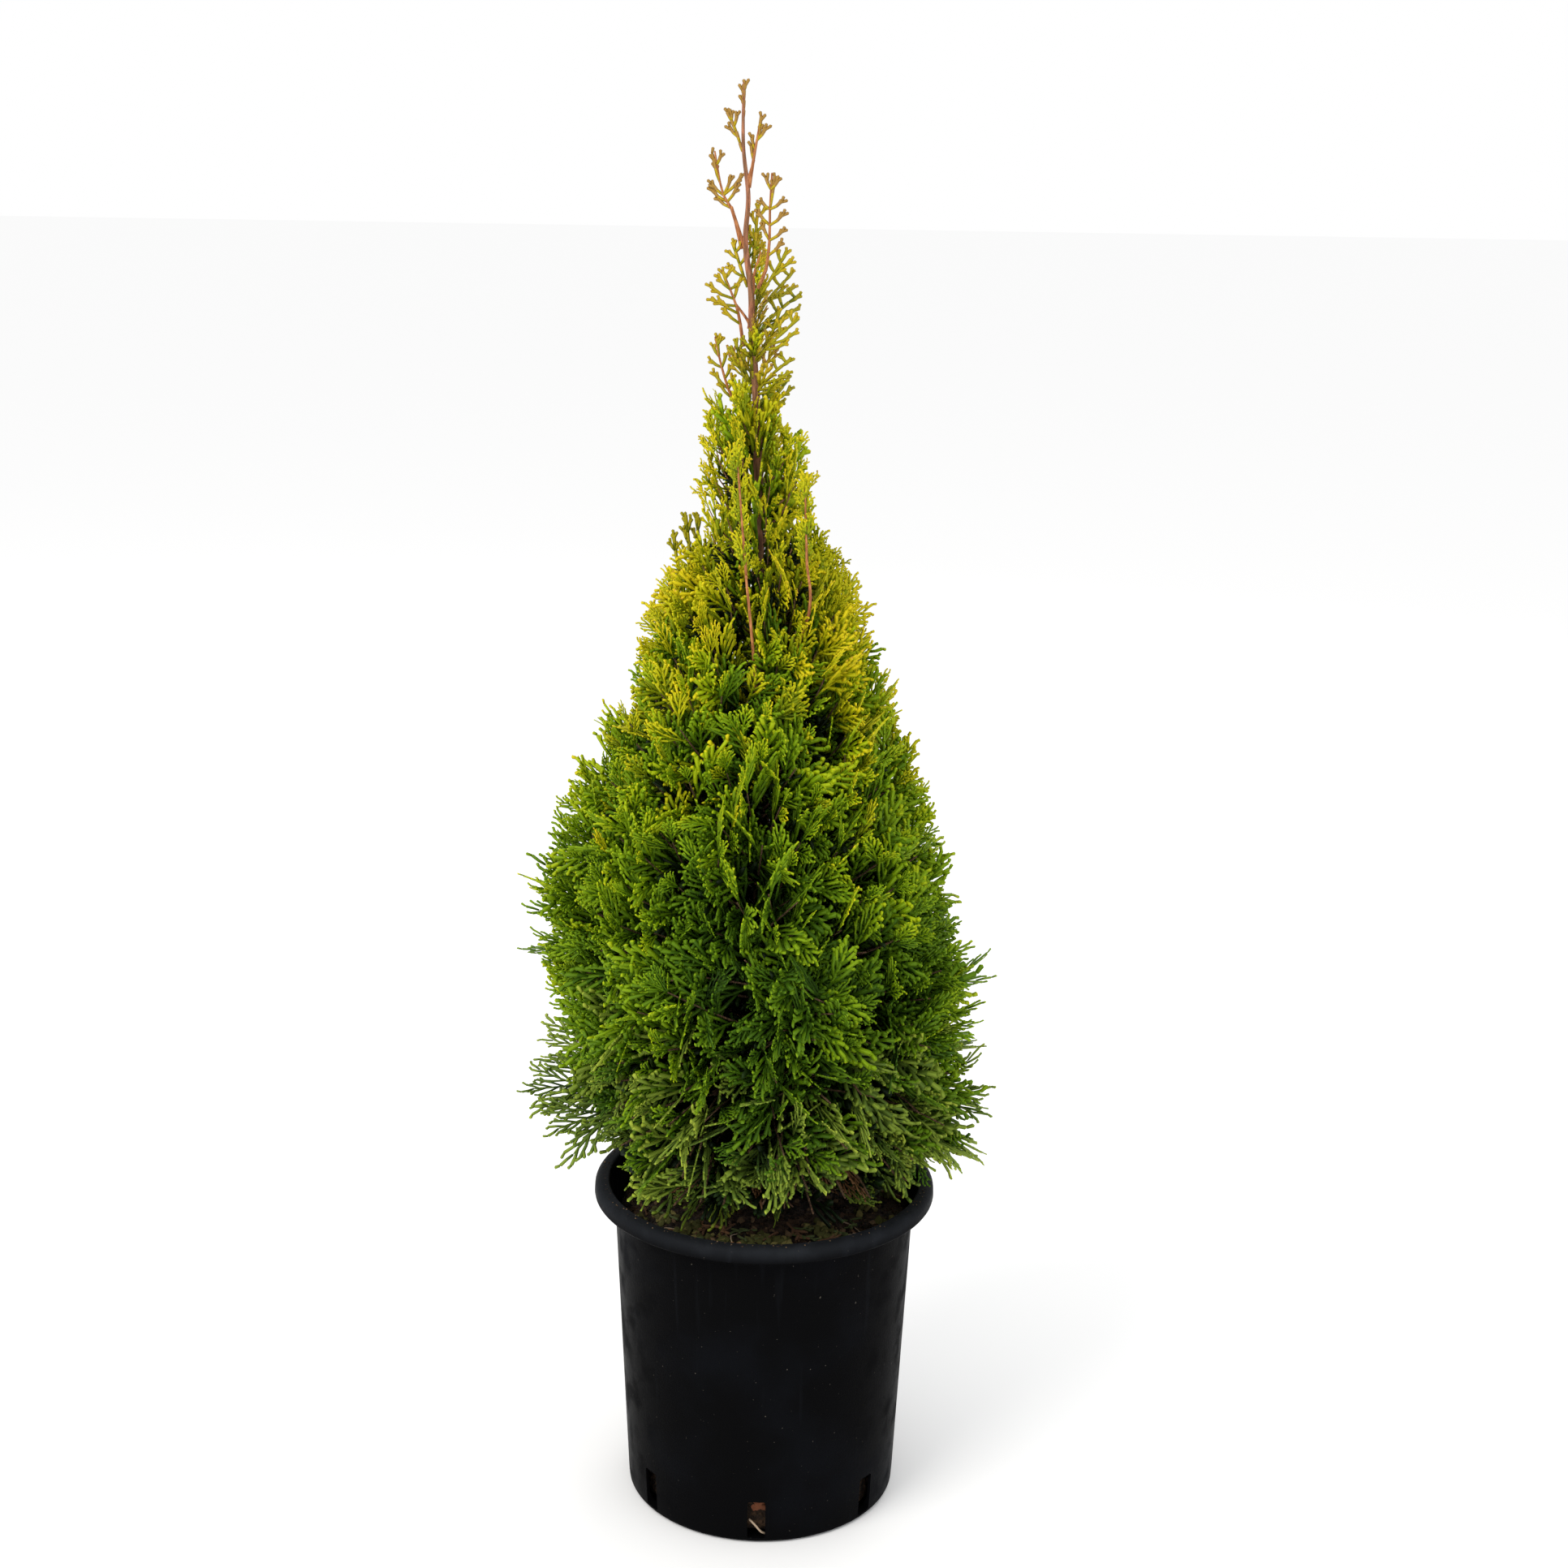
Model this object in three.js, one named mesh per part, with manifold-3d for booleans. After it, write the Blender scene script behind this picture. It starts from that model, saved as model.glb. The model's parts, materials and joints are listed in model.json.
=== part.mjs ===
// A young upright thuja in a round nursery pot, about one metre tall.
// Frame: millimetres, +Z up, origin at the centre of the pot's flat underside, -Y is the front.
// The trunk stays whole from the potting mix to its tip. Foliage masses stand round it in tiers,
// each on a bough of its own, and thin sprays and shoots make the open spire.
import * as THREE from "three";
import { mergeVertices } from "three/addons/utils/BufferGeometryUtils.js";
import Module from "manifold-3d";

const wasm = await Module();
wasm.setup();

// ---- Driving dimensions ----
const GAP = 0.35; // clearance between neighbouring solids
const MASS_CLEARANCE = 1.012; // a mass enlarged by this clears the bough that enters it
const SLIM_CLEARANCE = 1.03;

const POT = {
  height: 234,
  rimRadius: 120,
  mouthRadius: 109.5,
  neckRadius: 106,
  baseRadius: 95.8,
  wall: 2.2,
  lipHeight: 11,
  floor: 3,
  sides: 38,
};
const SLOT = { count: 7, width: 12.5, height: 29, foot: 3.5, firstAzimuth: -1 };
const MIX = { freeboard: 21, wallGap: 1.2, crownRise: 3, sides: 24 };
const MIX_TOP = POT.height - MIX.freeboard;
const WATERING_RADIUS = 90; // inside this radius foliage may hang below the rim

const TRUNK = { foot: 9.5, tip: 0.8, flare: 5, flareHeight: 20, sides: 8, sections: 18 };
const LIMB = { sides: 5, sections: 3 };
const TRUNK_FOOT = MIX_TOP + MIX.crownRise + GAP;
const PLANT_TOP = 976;

// The crown's outline: how far it reaches left and right of the trunk at each height.
const OUTLINE = [
  { z: 236, left: 108, right: 142 },
  { z: 262, left: 122, right: 152 },
  { z: 298, left: 168, right: 155 },
  { z: 336, left: 147, right: 140 },
  { z: 390, left: 144, right: 148 },
  { z: 440, left: 166, right: 146 },
  { z: 500, left: 138, right: 114 },
  { z: 560, left: 100, right: 95 },
  { z: 610, left: 90, right: 79 },
  { z: 670, left: 55, right: 62 },
  { z: 705, left: 38, right: 38 },
  { z: 745, left: 40, right: 40 },
  { z: 800, left: 26, right: 20 },
];

// Each tier: how many plumes, the azimuth of the first, the heights of foot, belly and tip, the
// half sizes out and sideways, the rise and radius of its boughs, and the lift of each plume.
const TIERS = [
  {
    name: "lower",
    count: 7,
    first: 18,
    heights: [236, 318, 470],
    thick: 50,
    wide: 60,
    boughRise: 8,
    boughRadius: 3.8,
    colour: 0x4d6b1c,
    lift: [-2, -14, -8, 4, 0, 18, -6],
  },
  {
    name: "middle",
    count: 8,
    first: 0,
    heights: [370, 462, 632],
    thick: 46,
    wide: 50,
    boughRise: 52,
    boughRadius: 3.2,
    colour: 0x62801d,
    lift: [6, -8, 4, -4, 8, 0, -6, 10],
  },
  {
    name: "upper",
    count: 4,
    first: 40,
    heights: [560, 622, 712],
    thick: 32,
    wide: 46,
    boughRise: 60,
    boughRadius: 2.2,
    colour: 0x8a8f1c,
    lift: [0, 6, -4, -16],
  },
  {
    name: "spire",
    count: 3,
    first: 65,
    heights: [684, 722, 800],
    thick: 18,
    wide: 28,
    boughRise: 0,
    boughRadius: 0,
    colour: 0x96901f,
    lift: [-18, 0, 6],
  },
];
const PLUME = { inset: 0.42, tipInset: 10, rough: 0.2, fullness: 0.35 };

// Thin open sprays on the spire: azimuth, heights of foot and tip, reach from the trunk, half
// width, and for those on a bare stem its radius and the share of the spray left bare.
const SPRAYS = [
  { azimuth: 80, foot: 770, tip: 812, reach: 26, half: 7 },
  { azimuth: 275, foot: 776, tip: 820, reach: 27, half: 7 },
  { azimuth: 98, foot: 794, tip: 838, reach: 31, half: 8 },
  { azimuth: 74, foot: 818, tip: 870, reach: 26, half: 9 },
  { azimuth: 262, foot: 822, tip: 865, reach: 20, half: 8, stem: 1.2, bare: 0.4 },
  { azimuth: 100, foot: 842, tip: 921, reach: 18, half: 7, stem: 1.4, bare: 0.36 },
  { azimuth: 272, foot: 874, tip: 935, reach: 18, half: 8, stem: 1.2, bare: 0.42 },
  { azimuth: 76, foot: 912, tip: 958, reach: 12, half: 5, stem: 1, bare: 0.36 },
];
const SPRAY_BEND = 0.6;

// Erect shoots with a bare stem in front of the foliage and a slim mass at the top.
const SHOOTS = [
  { name: "front_shoot", azimuth: 4, foot: 560, reach: 76, bare: 686, tip: 746, turn: -17 },
  { name: "right_shoot", azimuth: 26, foot: 600, reach: 72, bare: 690, tip: 726, turn: 10 },
];
const SHOOT = { stem: 1.9, end: 1.3, half: 8 };

// ---- Colours and materials ----
const finish = (color, roughness) =>
  new THREE.MeshStandardMaterial({ color, roughness, metalness: 0 });
const plastic = finish(0x141416, 0.45);
const earth = finish(0x2a1c12, 0.95);
const bark = finish(0x6e4a36, 0.85);

// ---- Small helpers ----
const part = new THREE.Group();

function solidOf(geometry) {
  const bare = geometry.clone();
  bare.deleteAttribute("normal");
  bare.deleteAttribute("uv");
  const merged = mergeVertices(bare, 1e-3);
  return new wasm.Manifold(
    new wasm.Mesh({
      numProp: 3,
      vertProperties: new Float32Array(merged.attributes.position.array),
      triVerts: new Uint32Array(merged.index.array),
    }),
  );
}

// The solid of a closed geometry whose faces may all point in.
function facingOut(geometry) {
  const solid = solidOf(geometry);
  if (solid.volume() > 0) return solid;
  const turned = geometry.index ? geometry.toNonIndexed() : geometry;
  const spot = turned.attributes.position.array;
  for (let i = 0; i < spot.length; i += 9)
    for (let k = i + 3; k < i + 6; k++) [spot[k], spot[k + 3]] = [spot[k + 3], spot[k]];
  return solidOf(turned);
}

function geometryOf(solid) {
  const mesh = solid.getMesh();
  const geometry = new THREE.BufferGeometry();
  geometry.setAttribute("position", new THREE.BufferAttribute(mesh.vertProperties, 3));
  geometry.setIndex(new THREE.BufferAttribute(mesh.triVerts, 1));
  return geometry;
}

function place(name, solid, material) {
  const mesh = new THREE.Mesh(geometryOf(solid), material);
  mesh.name = name;
  part.add(mesh);
}

// The largest piece of a solid, so that a cut never leaves loose scraps.
function largest(solid) {
  const pieces = solid.decompose();
  return pieces.reduce((a, b) => (a.volume() > b.volume() ? a : b));
}

const outward = (azimuth) => {
  const a = THREE.MathUtils.degToRad(azimuth);
  return new THREE.Vector3(Math.sin(a), -Math.cos(a), 0);
};

const lathe = (profile, sides) =>
  new THREE.LatheGeometry(
    profile.map(([r, z]) => new THREE.Vector2(r, z)),
    sides,
  ).rotateX(Math.PI / 2);

// ---- Pot ----
// A thin tapered wall under a rolled lip, closed by a floor, with drainage slots round the foot.
function outerRadius(z) {
  return THREE.MathUtils.lerp(POT.baseRadius, POT.neckRadius, z / (POT.height - POT.lipHeight));
}

function potSolid() {
  const lipFoot = POT.height - POT.lipHeight;
  const profile = [
    [0, 0],
    [POT.baseRadius - 3, 0],
    [POT.baseRadius, 3],
    [outerRadius(lipFoot - 9), lipFoot - 9],
    [POT.neckRadius + 2.5, lipFoot - 2],
    [POT.rimRadius - 1.5, lipFoot],
    [POT.rimRadius, lipFoot + 3],
    [POT.rimRadius - 1.2, POT.height - 3.5],
    [POT.rimRadius - 4.5, POT.height - 0.6],
    [POT.mouthRadius + 1.5, POT.height],
    [POT.mouthRadius, POT.height - 1.5],
    [POT.neckRadius - POT.wall + 1, lipFoot - 3],
    [outerRadius(lipFoot - 12) - POT.wall, lipFoot - 12],
    [outerRadius(POT.floor) - POT.wall, POT.floor + 2],
    [POT.baseRadius - 6, POT.floor],
    [0, POT.floor],
  ];
  let pot = solidOf(lathe(profile, POT.sides));
  for (let i = 0; i < SLOT.count; i++) {
    const azimuth = SLOT.firstAzimuth + (360 / SLOT.count) * i;
    const cutter = new THREE.BoxGeometry(SLOT.width, 16, SLOT.height)
      .translate(0, -POT.baseRadius, SLOT.foot + SLOT.height / 2)
      .rotateZ(THREE.MathUtils.degToRad(azimuth));
    pot = pot.subtract(solidOf(cutter));
  }
  return pot;
}

// ---- Potting mix ----
// It fills the pot a little short of the lip and rises slightly towards the stem.
function mixSolid() {
  const inner = (z) => outerRadius(z) - POT.wall - MIX.wallGap;
  const foot = POT.floor + GAP;
  const profile = [
    [0, foot],
    [POT.baseRadius - 12, foot],
    [inner(12), 12],
    [inner(MIX_TOP - 4) - 0.5, MIX_TOP - 4],
    [inner(MIX_TOP) - 5, MIX_TOP],
    [45, MIX_TOP + 1],
    [24, MIX_TOP + MIX.crownRise],
    [0, MIX_TOP + MIX.crownRise],
  ];
  return solidOf(lathe(profile, MIX.sides));
}

// Where foliage may not go: the lip all round, the mix, and a ring left free for watering.
function foliageKeepOut() {
  const lip = POT.height + GAP;
  const top = MIX_TOP + MIX.crownRise + GAP;
  const reach = POT.rimRadius + 1;
  const profile = [
    [0, 0],
    [reach, 0],
    [reach, lip],
    [WATERING_RADIUS, lip],
    [WATERING_RADIUS, top],
    [0, top],
  ];
  return solidOf(lathe(profile, 48));
}

// ---- Limbs ----
// A capped cylinder bent along a curve, its radius given at each share t of the way.
function limb(curve, radius, sides, sections) {
  const geometry = new THREE.CylinderGeometry(1, 1, 1, sides, sections);
  const frames = curve.computeFrenetFrames(sections, false);
  const spot = geometry.attributes.position;
  for (let i = 0; i < spot.count; i++) {
    const t = THREE.MathUtils.clamp(spot.getY(i) + 0.5, 0, 1);
    const k = Math.round(t * sections);
    const r = radius(t);
    const at = curve
      .getPointAt(t)
      .addScaledVector(frames.binormals[k], spot.getX(i) * r)
      .addScaledVector(frames.normals[k], spot.getZ(i) * r);
    spot.setXYZ(i, at.x, at.y, at.z);
  }
  return facingOut(geometry);
}

// The trunk leans a little to the left and wavers where its leader forked.
const trunkCurve = new THREE.CatmullRomCurve3([
  new THREE.Vector3(0, 0, TRUNK_FOOT),
  new THREE.Vector3(-1, 1, 300),
  new THREE.Vector3(-4, 3, 430),
  new THREE.Vector3(-8, 2, 580),
  new THREE.Vector3(-10, 0, 700),
  new THREE.Vector3(-11.5, 0, 764),
  new THREE.Vector3(-15.5, 0, 820),
  new THREE.Vector3(-16.5, 0, 847),
  new THREE.Vector3(-20.5, 0, 878),
  new THREE.Vector3(-19, 0, 907),
  new THREE.Vector3(-22.5, 0, 938),
  new THREE.Vector3(-22.5, 0, PLANT_TOP),
]);

function trunkRadius(t) {
  const height = t * (PLANT_TOP - TRUNK_FOOT);
  const taper = THREE.MathUtils.lerp(TRUNK.foot, TRUNK.tip, Math.pow(t, 0.8));
  return taper + TRUNK.flare * Math.exp(-height / TRUNK.flareHeight);
}

// The point of the trunk's centreline at a height.
function trunkAt(z) {
  let [low, high] = [0, 1];
  for (let i = 0; i < 24; i++) {
    const t = (low + high) / 2;
    if (trunkCurve.getPointAt(t).z < z) low = t;
    else high = t;
  }
  return trunkCurve.getPointAt(low);
}

const fromTrunk = (azimuth, reach, z) =>
  trunkAt(z).addScaledVector(outward(azimuth), reach).setZ(z);

const trunkLevel = (extra) =>
  limb(trunkCurve, (t) => trunkRadius(t) + extra, TRUNK.sides, TRUNK.sections);

// ---- Foliage masses ----
// A small repeatable source of unevenness for each mass.
function noiseOf(seed) {
  let state = seed * 2654435761;
  const next = () => {
    state = (Math.imul(state ^ (state >>> 15), 2246822507) + 0x6d2b79f5) >>> 0;
    return state / 4294967296;
  };
  const waves = Array.from({ length: 4 }, () => ({
    way: new THREE.Vector3(next() - 0.5, next() - 0.5, next() - 0.5).normalize(),
    rate: 2.6 + 3.4 * next(),
    phase: 6.28 * next(),
  }));
  return (p) => waves.reduce((sum, w) => sum + Math.sin(w.rate * w.way.dot(p) + w.phase), 0) / 4;
}

// How far the crown reaches from the trunk at a height and azimuth.
function crownReach(z, azimuth) {
  const last = OUTLINE.length - 1;
  const level = THREE.MathUtils.clamp(z, OUTLINE[0].z, OUTLINE[last].z);
  const k = Math.min(OUTLINE.findLastIndex((row) => row.z <= level), last - 1);
  const [under, over] = [OUTLINE[k], OUTLINE[k + 1]];
  const share = (level - under.z) / (over.z - under.z);
  const left = THREE.MathUtils.lerp(under.left, over.left, share);
  const right = THREE.MathUtils.lerp(under.right, over.right, share);
  const turn = (1 + Math.sin(THREE.MathUtils.degToRad(azimuth))) / 2;
  return THREE.MathUtils.lerp(left, right, turn);
}

// Draws a point in to the crown's outline, gently at first as it nears it.
function insideOutline(p) {
  const axis = trunkAt(p.z);
  const [x, y] = [p.x - axis.x, p.y - axis.y];
  const reach = crownReach(p.z, THREE.MathUtils.radToDeg(Math.atan2(x, -y)));
  const q = Math.hypot(x, y) / reach;
  const eased = q < 0.8 ? q : 0.8 + 0.2 * Math.tanh((q - 0.8) / 0.2);
  p.x = axis.x + (x * eased) / q;
  p.y = axis.y + (y * eased) / q;
}

// A flame-shaped lump along a curve from its foot to its tip, fuller low down.
function plume(curve, { thick, wide, azimuth, seed, detail, rough, fullness }, within) {
  const geometry = new THREE.IcosahedronGeometry(1, detail);
  const noise = noiseOf(seed);
  const out = outward(azimuth);
  const side = new THREE.Vector3(-out.y, out.x, 0);
  const spot = geometry.attributes.position;
  const unit = new THREE.Vector3();
  for (let i = 0; i < spot.count; i++) {
    unit.fromBufferAttribute(spot, i);
    const t = THREE.MathUtils.clamp((unit.z + 1) / 2, 0, 1);
    const outwards = side.clone().cross(curve.getTangent(t)).normalize();
    if (outwards.dot(out) < 0) outwards.negate();
    const fat = 1 + fullness * (0.5 - t) + rough * noise(unit);
    const at = curve
      .getPoint(t)
      .addScaledVector(side, unit.x * wide * fat)
      .addScaledVector(outwards, unit.y * thick * fat);
    if (within) insideOutline(at);
    spot.setXYZ(i, at.x, at.y, at.z);
  }
  return facingOut(geometry);
}

function centreOf(solid) {
  const mesh = solid.getMesh();
  const points = mesh.vertProperties;
  const centre = new THREE.Vector3();
  for (let i = 0; i < mesh.numVert; i++)
    centre.add(new THREE.Vector3(points[3 * i], points[3 * i + 1], points[3 * i + 2]));
  return centre.divideScalar(mesh.numVert);
}

// How far a solid reaches from a point in a direction.
function reachOf(solid, centre, way) {
  const mesh = solid.getMesh();
  const points = mesh.vertProperties;
  let most = 0;
  const p = new THREE.Vector3();
  for (let i = 0; i < mesh.numVert; i++) {
    p.set(points[3 * i], points[3 * i + 1], points[3 * i + 2]).sub(centre);
    most = Math.max(most, p.dot(way));
  }
  return most;
}

// Neighbouring masses share the room between them: each is cut by a plane set where their
// reaches towards each other meet.
function sharedOut(masses) {
  const centres = masses.map((m) => centreOf(m.solid));
  return masses.map((mass, i) => {
    let solid = mass.solid;
    masses.forEach((other, j) => {
      if (i === j) return;
      const way = centres[j].clone().sub(centres[i]);
      const distance = way.length();
      way.normalize();
      const mine = reachOf(mass.solid, centres[i], way);
      const theirs = reachOf(other.solid, centres[j], way.clone().negate());
      if (mine + theirs <= distance - GAP) return;
      const at = (distance * mine) / (mine + theirs) - GAP / 2;
      const offset = way.dot(centres[i]) + at;
      solid = solid.trimByPlane([-way.x, -way.y, -way.z], -offset);
    });
    return largest(solid);
  });
}

const masses = [];
const boughs = [];

TIERS.forEach((tier, level) => {
  for (let i = 0; i < tier.count; i++) {
    const azimuth = tier.first + (360 / tier.count) * i;
    const [foot, belly, tip] = tier.heights.map((z) => z + tier.lift[i]);
    const at = (z, inset) => fromTrunk(azimuth, crownReach(z, azimuth) - inset, z);
    const curve = new THREE.CatmullRomCurve3([
      fromTrunk(azimuth, crownReach(foot, azimuth) * PLUME.inset, foot),
      at(belly, tier.thick),
      at(tip, PLUME.tipInset),
    ]);
    const form = {
      thick: tier.thick,
      wide: tier.wide,
      azimuth,
      seed: 11 * level + i + 3,
      detail: 2,
      rough: PLUME.rough,
      fullness: PLUME.fullness,
    };
    masses.push({
      name: `${tier.name}_foliage_${i + 1}`,
      solid: plume(curve, form, true),
      colour: tier.colour,
    });
    if (!tier.boughRadius) continue;
    const root = trunkAt(foot - tier.boughRise);
    const middle = curve.getPoint(0.42);
    const bend = root.clone().lerp(middle, 0.5).addScaledVector(outward(azimuth), tier.thick / 6);
    boughs.push({
      name: `${tier.name}_bough_${i + 1}`,
      mass: masses.length - 1,
      curve: new THREE.QuadraticBezierCurve3(root, bend, middle),
      from: tier.boughRadius,
      to: tier.boughRadius * 0.6,
    });
  }
});

SPRAYS.forEach((spray, i) => {
  const tip = fromTrunk(spray.azimuth, spray.reach, spray.tip);
  const middle = (spray.foot + spray.tip) / 2;
  const bend = fromTrunk(spray.azimuth, spray.reach * SPRAY_BEND, middle);
  const whole = new THREE.QuadraticBezierCurve3(trunkAt(spray.foot), bend, tip);
  const start = spray.bare ?? 0.1;
  const leafy = new THREE.QuadraticBezierCurve3(
    whole.getPoint(start),
    whole.getPoint((1 + start) / 2),
    tip,
  );
  const form = {
    thick: spray.half,
    wide: spray.half * 0.6,
    azimuth: spray.azimuth,
    seed: 70 + i,
    detail: 1,
    rough: 0.2,
    fullness: 0,
  };
  masses.push({ name: `spire_spray_${i + 1}`, solid: plume(leafy, form), colour: 0xa08c24 });
  if (spray.stem)
    boughs.push({
      name: `spire_stem_${i + 1}`,
      mass: masses.length - 1,
      curve: whole,
      from: spray.stem,
      to: spray.stem * 0.5,
    });
});

SHOOTS.forEach((shoot, i) => {
  const at = (z) => {
    const share = (z - shoot.foot) / (shoot.tip - shoot.foot);
    const reach = shoot.reach * THREE.MathUtils.lerp(1, 0.72, share);
    return fromTrunk(shoot.azimuth + shoot.turn * share, reach, z);
  };
  const stem = new THREE.CatmullRomCurve3([
    trunkAt(shoot.foot - shoot.reach / 2),
    at(shoot.foot + 12),
    at((shoot.foot + shoot.bare) / 2 + 10),
    at(shoot.bare + 12),
  ]);
  const leafy = new THREE.QuadraticBezierCurve3(
    at(shoot.bare - 14),
    at((shoot.bare + shoot.tip) / 2),
    at(shoot.tip),
  );
  const form = {
    thick: SHOOT.half,
    wide: SHOOT.half,
    azimuth: shoot.azimuth,
    seed: 90 + i,
    detail: 1,
    rough: 0.15,
    fullness: 0.2,
  };
  masses.push({
    name: `${shoot.name}_foliage`,
    solid: plume(leafy, form),
    colour: 0xa8851e,
    slim: true,
  });
  boughs.push({
    name: shoot.name,
    mass: masses.length - 1,
    curve: stem,
    from: SHOOT.stem,
    to: SHOOT.end,
  });
});

// ---- Cutting and placing ----
const trunkRoom = trunkLevel(GAP);
const slim = masses.filter((m) => m.slim);
const full = masses.filter((m) => !m.slim);

// A solid a little enlarged about its own centre, to cut a clearance with.
function grown(solid, by) {
  const c = centreOf(solid);
  return solid
    .translate([-c.x, -c.y, -c.z])
    .scale([by, by, by])
    .translate([c.x, c.y, c.z]);
}

const keepOut = foliageKeepOut();
sharedOut(full).forEach((solid, i) => {
  full[i].solid = largest(solid.subtract(keepOut).subtract(trunkRoom));
});
slim.forEach((mass) => {
  mass.solid = largest(mass.solid.subtract(trunkRoom));
  full.forEach((other) => {
    other.solid = largest(other.solid.subtract(grown(mass.solid, SLIM_CLEARANCE)));
  });
});

// A bough ends at its own mass, and any other mass it passes is cut round it.
const boughShape = (bough, extra) =>
  limb(
    bough.curve,
    (t) => THREE.MathUtils.lerp(bough.from, bough.to, t) + extra,
    LIMB.sides,
    LIMB.sections,
  );
boughs.forEach((bough) => {
  const own = masses[bough.mass];
  masses.forEach((mass) => {
    if (mass !== own) mass.solid = largest(mass.solid.subtract(boughShape(bough, GAP)));
  });
});
boughs.reverse().forEach((bough, i) => {
  const own = grown(masses[bough.mass].solid, MASS_CLEARANCE);
  let solid = boughShape(bough, 0).subtract(trunkRoom).subtract(own);
  boughs.slice(0, i).forEach((placed) => {
    solid = solid.subtract(boughShape(placed, GAP));
  });
  bough.solid = largest(solid);
});

place("pot", potSolid(), plastic);
place("potting_mix", mixSolid(), earth);
place("trunk", trunkLevel(0), bark);
boughs.forEach((bough) => place(bough.name, bough.solid, bark));
masses.forEach((mass) => place(mass.name, mass.solid, finish(mass.colour, 0.6)));

export default part;
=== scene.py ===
# %% [markdown]
# # A young thuja in a nursery pot
# The plant is grown by rule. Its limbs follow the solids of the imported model, and every foliage
# mass is swapped for fronds: a twig with flat sprays along it, each spray a comb of small fingers.
# The pot, the potting mix and the bark are meshes of their own with procedural finishes.
# Lengths are in metres and angles in radians, unless a comment says otherwise.

# %% Load the frame
import json
import math

import bmesh
import bpy
import numpy as np
from mathutils import Matrix, Vector, noise
from mathutils.bvhtree import BVHTree

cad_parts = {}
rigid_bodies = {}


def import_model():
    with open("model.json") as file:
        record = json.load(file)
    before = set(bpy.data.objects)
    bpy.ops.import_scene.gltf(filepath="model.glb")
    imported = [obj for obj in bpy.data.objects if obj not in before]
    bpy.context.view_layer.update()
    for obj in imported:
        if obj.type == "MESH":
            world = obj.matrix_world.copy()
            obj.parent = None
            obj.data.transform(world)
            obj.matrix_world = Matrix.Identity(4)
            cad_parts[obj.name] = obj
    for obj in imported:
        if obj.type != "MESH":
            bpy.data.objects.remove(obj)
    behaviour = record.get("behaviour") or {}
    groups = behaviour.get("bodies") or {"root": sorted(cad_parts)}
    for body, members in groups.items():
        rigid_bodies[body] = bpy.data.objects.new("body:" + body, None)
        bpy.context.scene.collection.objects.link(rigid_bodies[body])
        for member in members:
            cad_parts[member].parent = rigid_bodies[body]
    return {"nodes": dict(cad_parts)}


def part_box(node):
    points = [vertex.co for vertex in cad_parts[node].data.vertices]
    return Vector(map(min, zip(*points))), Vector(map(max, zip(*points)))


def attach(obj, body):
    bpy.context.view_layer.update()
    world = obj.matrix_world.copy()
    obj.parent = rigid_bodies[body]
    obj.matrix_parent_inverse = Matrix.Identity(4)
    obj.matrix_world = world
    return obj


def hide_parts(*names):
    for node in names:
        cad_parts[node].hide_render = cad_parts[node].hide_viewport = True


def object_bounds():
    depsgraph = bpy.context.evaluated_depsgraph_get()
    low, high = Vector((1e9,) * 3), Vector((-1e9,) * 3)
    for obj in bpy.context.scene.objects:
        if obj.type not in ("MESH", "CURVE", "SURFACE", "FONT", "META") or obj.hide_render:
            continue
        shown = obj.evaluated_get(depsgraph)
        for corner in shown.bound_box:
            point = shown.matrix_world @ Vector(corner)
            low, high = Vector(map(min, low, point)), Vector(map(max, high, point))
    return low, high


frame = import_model()
cad_box = [list(corner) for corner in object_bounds()]
nodes = frame["nodes"]
print("nodes", len(nodes), "box", cad_box)

# %% [markdown]
# ## Camera, light and floor
# The plant stands on a pale floor under soft light. The camera looks slightly down and is rolled
# by under one degree. Many small lamps or a picture of a sky could light it, but leaves show their
# form best under one large lamp. It stands above the camera's left shoulder, and a weaker one on
# the right and the white surroundings fill its shadows.

# %% Camera
CAMERA_PLACE = Vector((0.00955, -1.5163, 0.9211))
CAMERA_PITCH = 0.2581
CAMERA_ROLL = 0.0157
CAMERA_LENS = 53.1  # mm, on a sensor 36 mm wide


def make_camera():
    ahead = Vector((0, math.cos(CAMERA_PITCH), -math.sin(CAMERA_PITCH)))
    above = Vector((0, math.sin(CAMERA_PITCH), math.cos(CAMERA_PITCH)))
    across = Vector((1, 0, 0))
    right = across * math.cos(CAMERA_ROLL) + above * math.sin(CAMERA_ROLL)
    top = above * math.cos(CAMERA_ROLL) - across * math.sin(CAMERA_ROLL)
    data = bpy.data.cameras.new("camera")
    data.sensor_width = 36
    data.lens = CAMERA_LENS
    data.clip_end = 50
    camera = bpy.data.objects.new("camera", data)
    turn = Matrix((right, top, -ahead)).transposed().to_4x4()
    camera.matrix_world = Matrix.Translation(CAMERA_PLACE) @ turn
    bpy.context.scene.collection.objects.link(camera)
    bpy.context.scene.camera = camera


make_camera()
print("camera pitch", round(math.degrees(CAMERA_PITCH), 1), "degrees down")

# %% Lamps and surroundings
CROWN_CENTRE = Vector((0, 0, 0.5))
LAMPS = {
    "key_lamp": dict(place=(-1.5, -1.6, 2.5), size=1.6, power=44, tint=(1, 0.975, 0.93)),
    "fill_lamp": dict(place=(2.2, -1.2, 1.4), size=2.2, power=6, tint=(0.93, 0.97, 1)),
    "rim_lamp": dict(place=(0.9, 2.0, 2.2), size=1.6, power=8, tint=(1, 1, 1)),
}


def make_lamp(name, place, size, power, tint):
    data = bpy.data.lights.new(name, "AREA")
    data.shape = "DISK"
    data.size = size
    data.energy = power
    data.color = tint
    lamp = bpy.data.objects.new(name, data)
    lamp.location = place
    aim = CROWN_CENTRE - Vector(place)
    lamp.rotation_euler = aim.to_track_quat("-Z", "Y").to_euler()
    bpy.context.scene.collection.objects.link(lamp)


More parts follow.
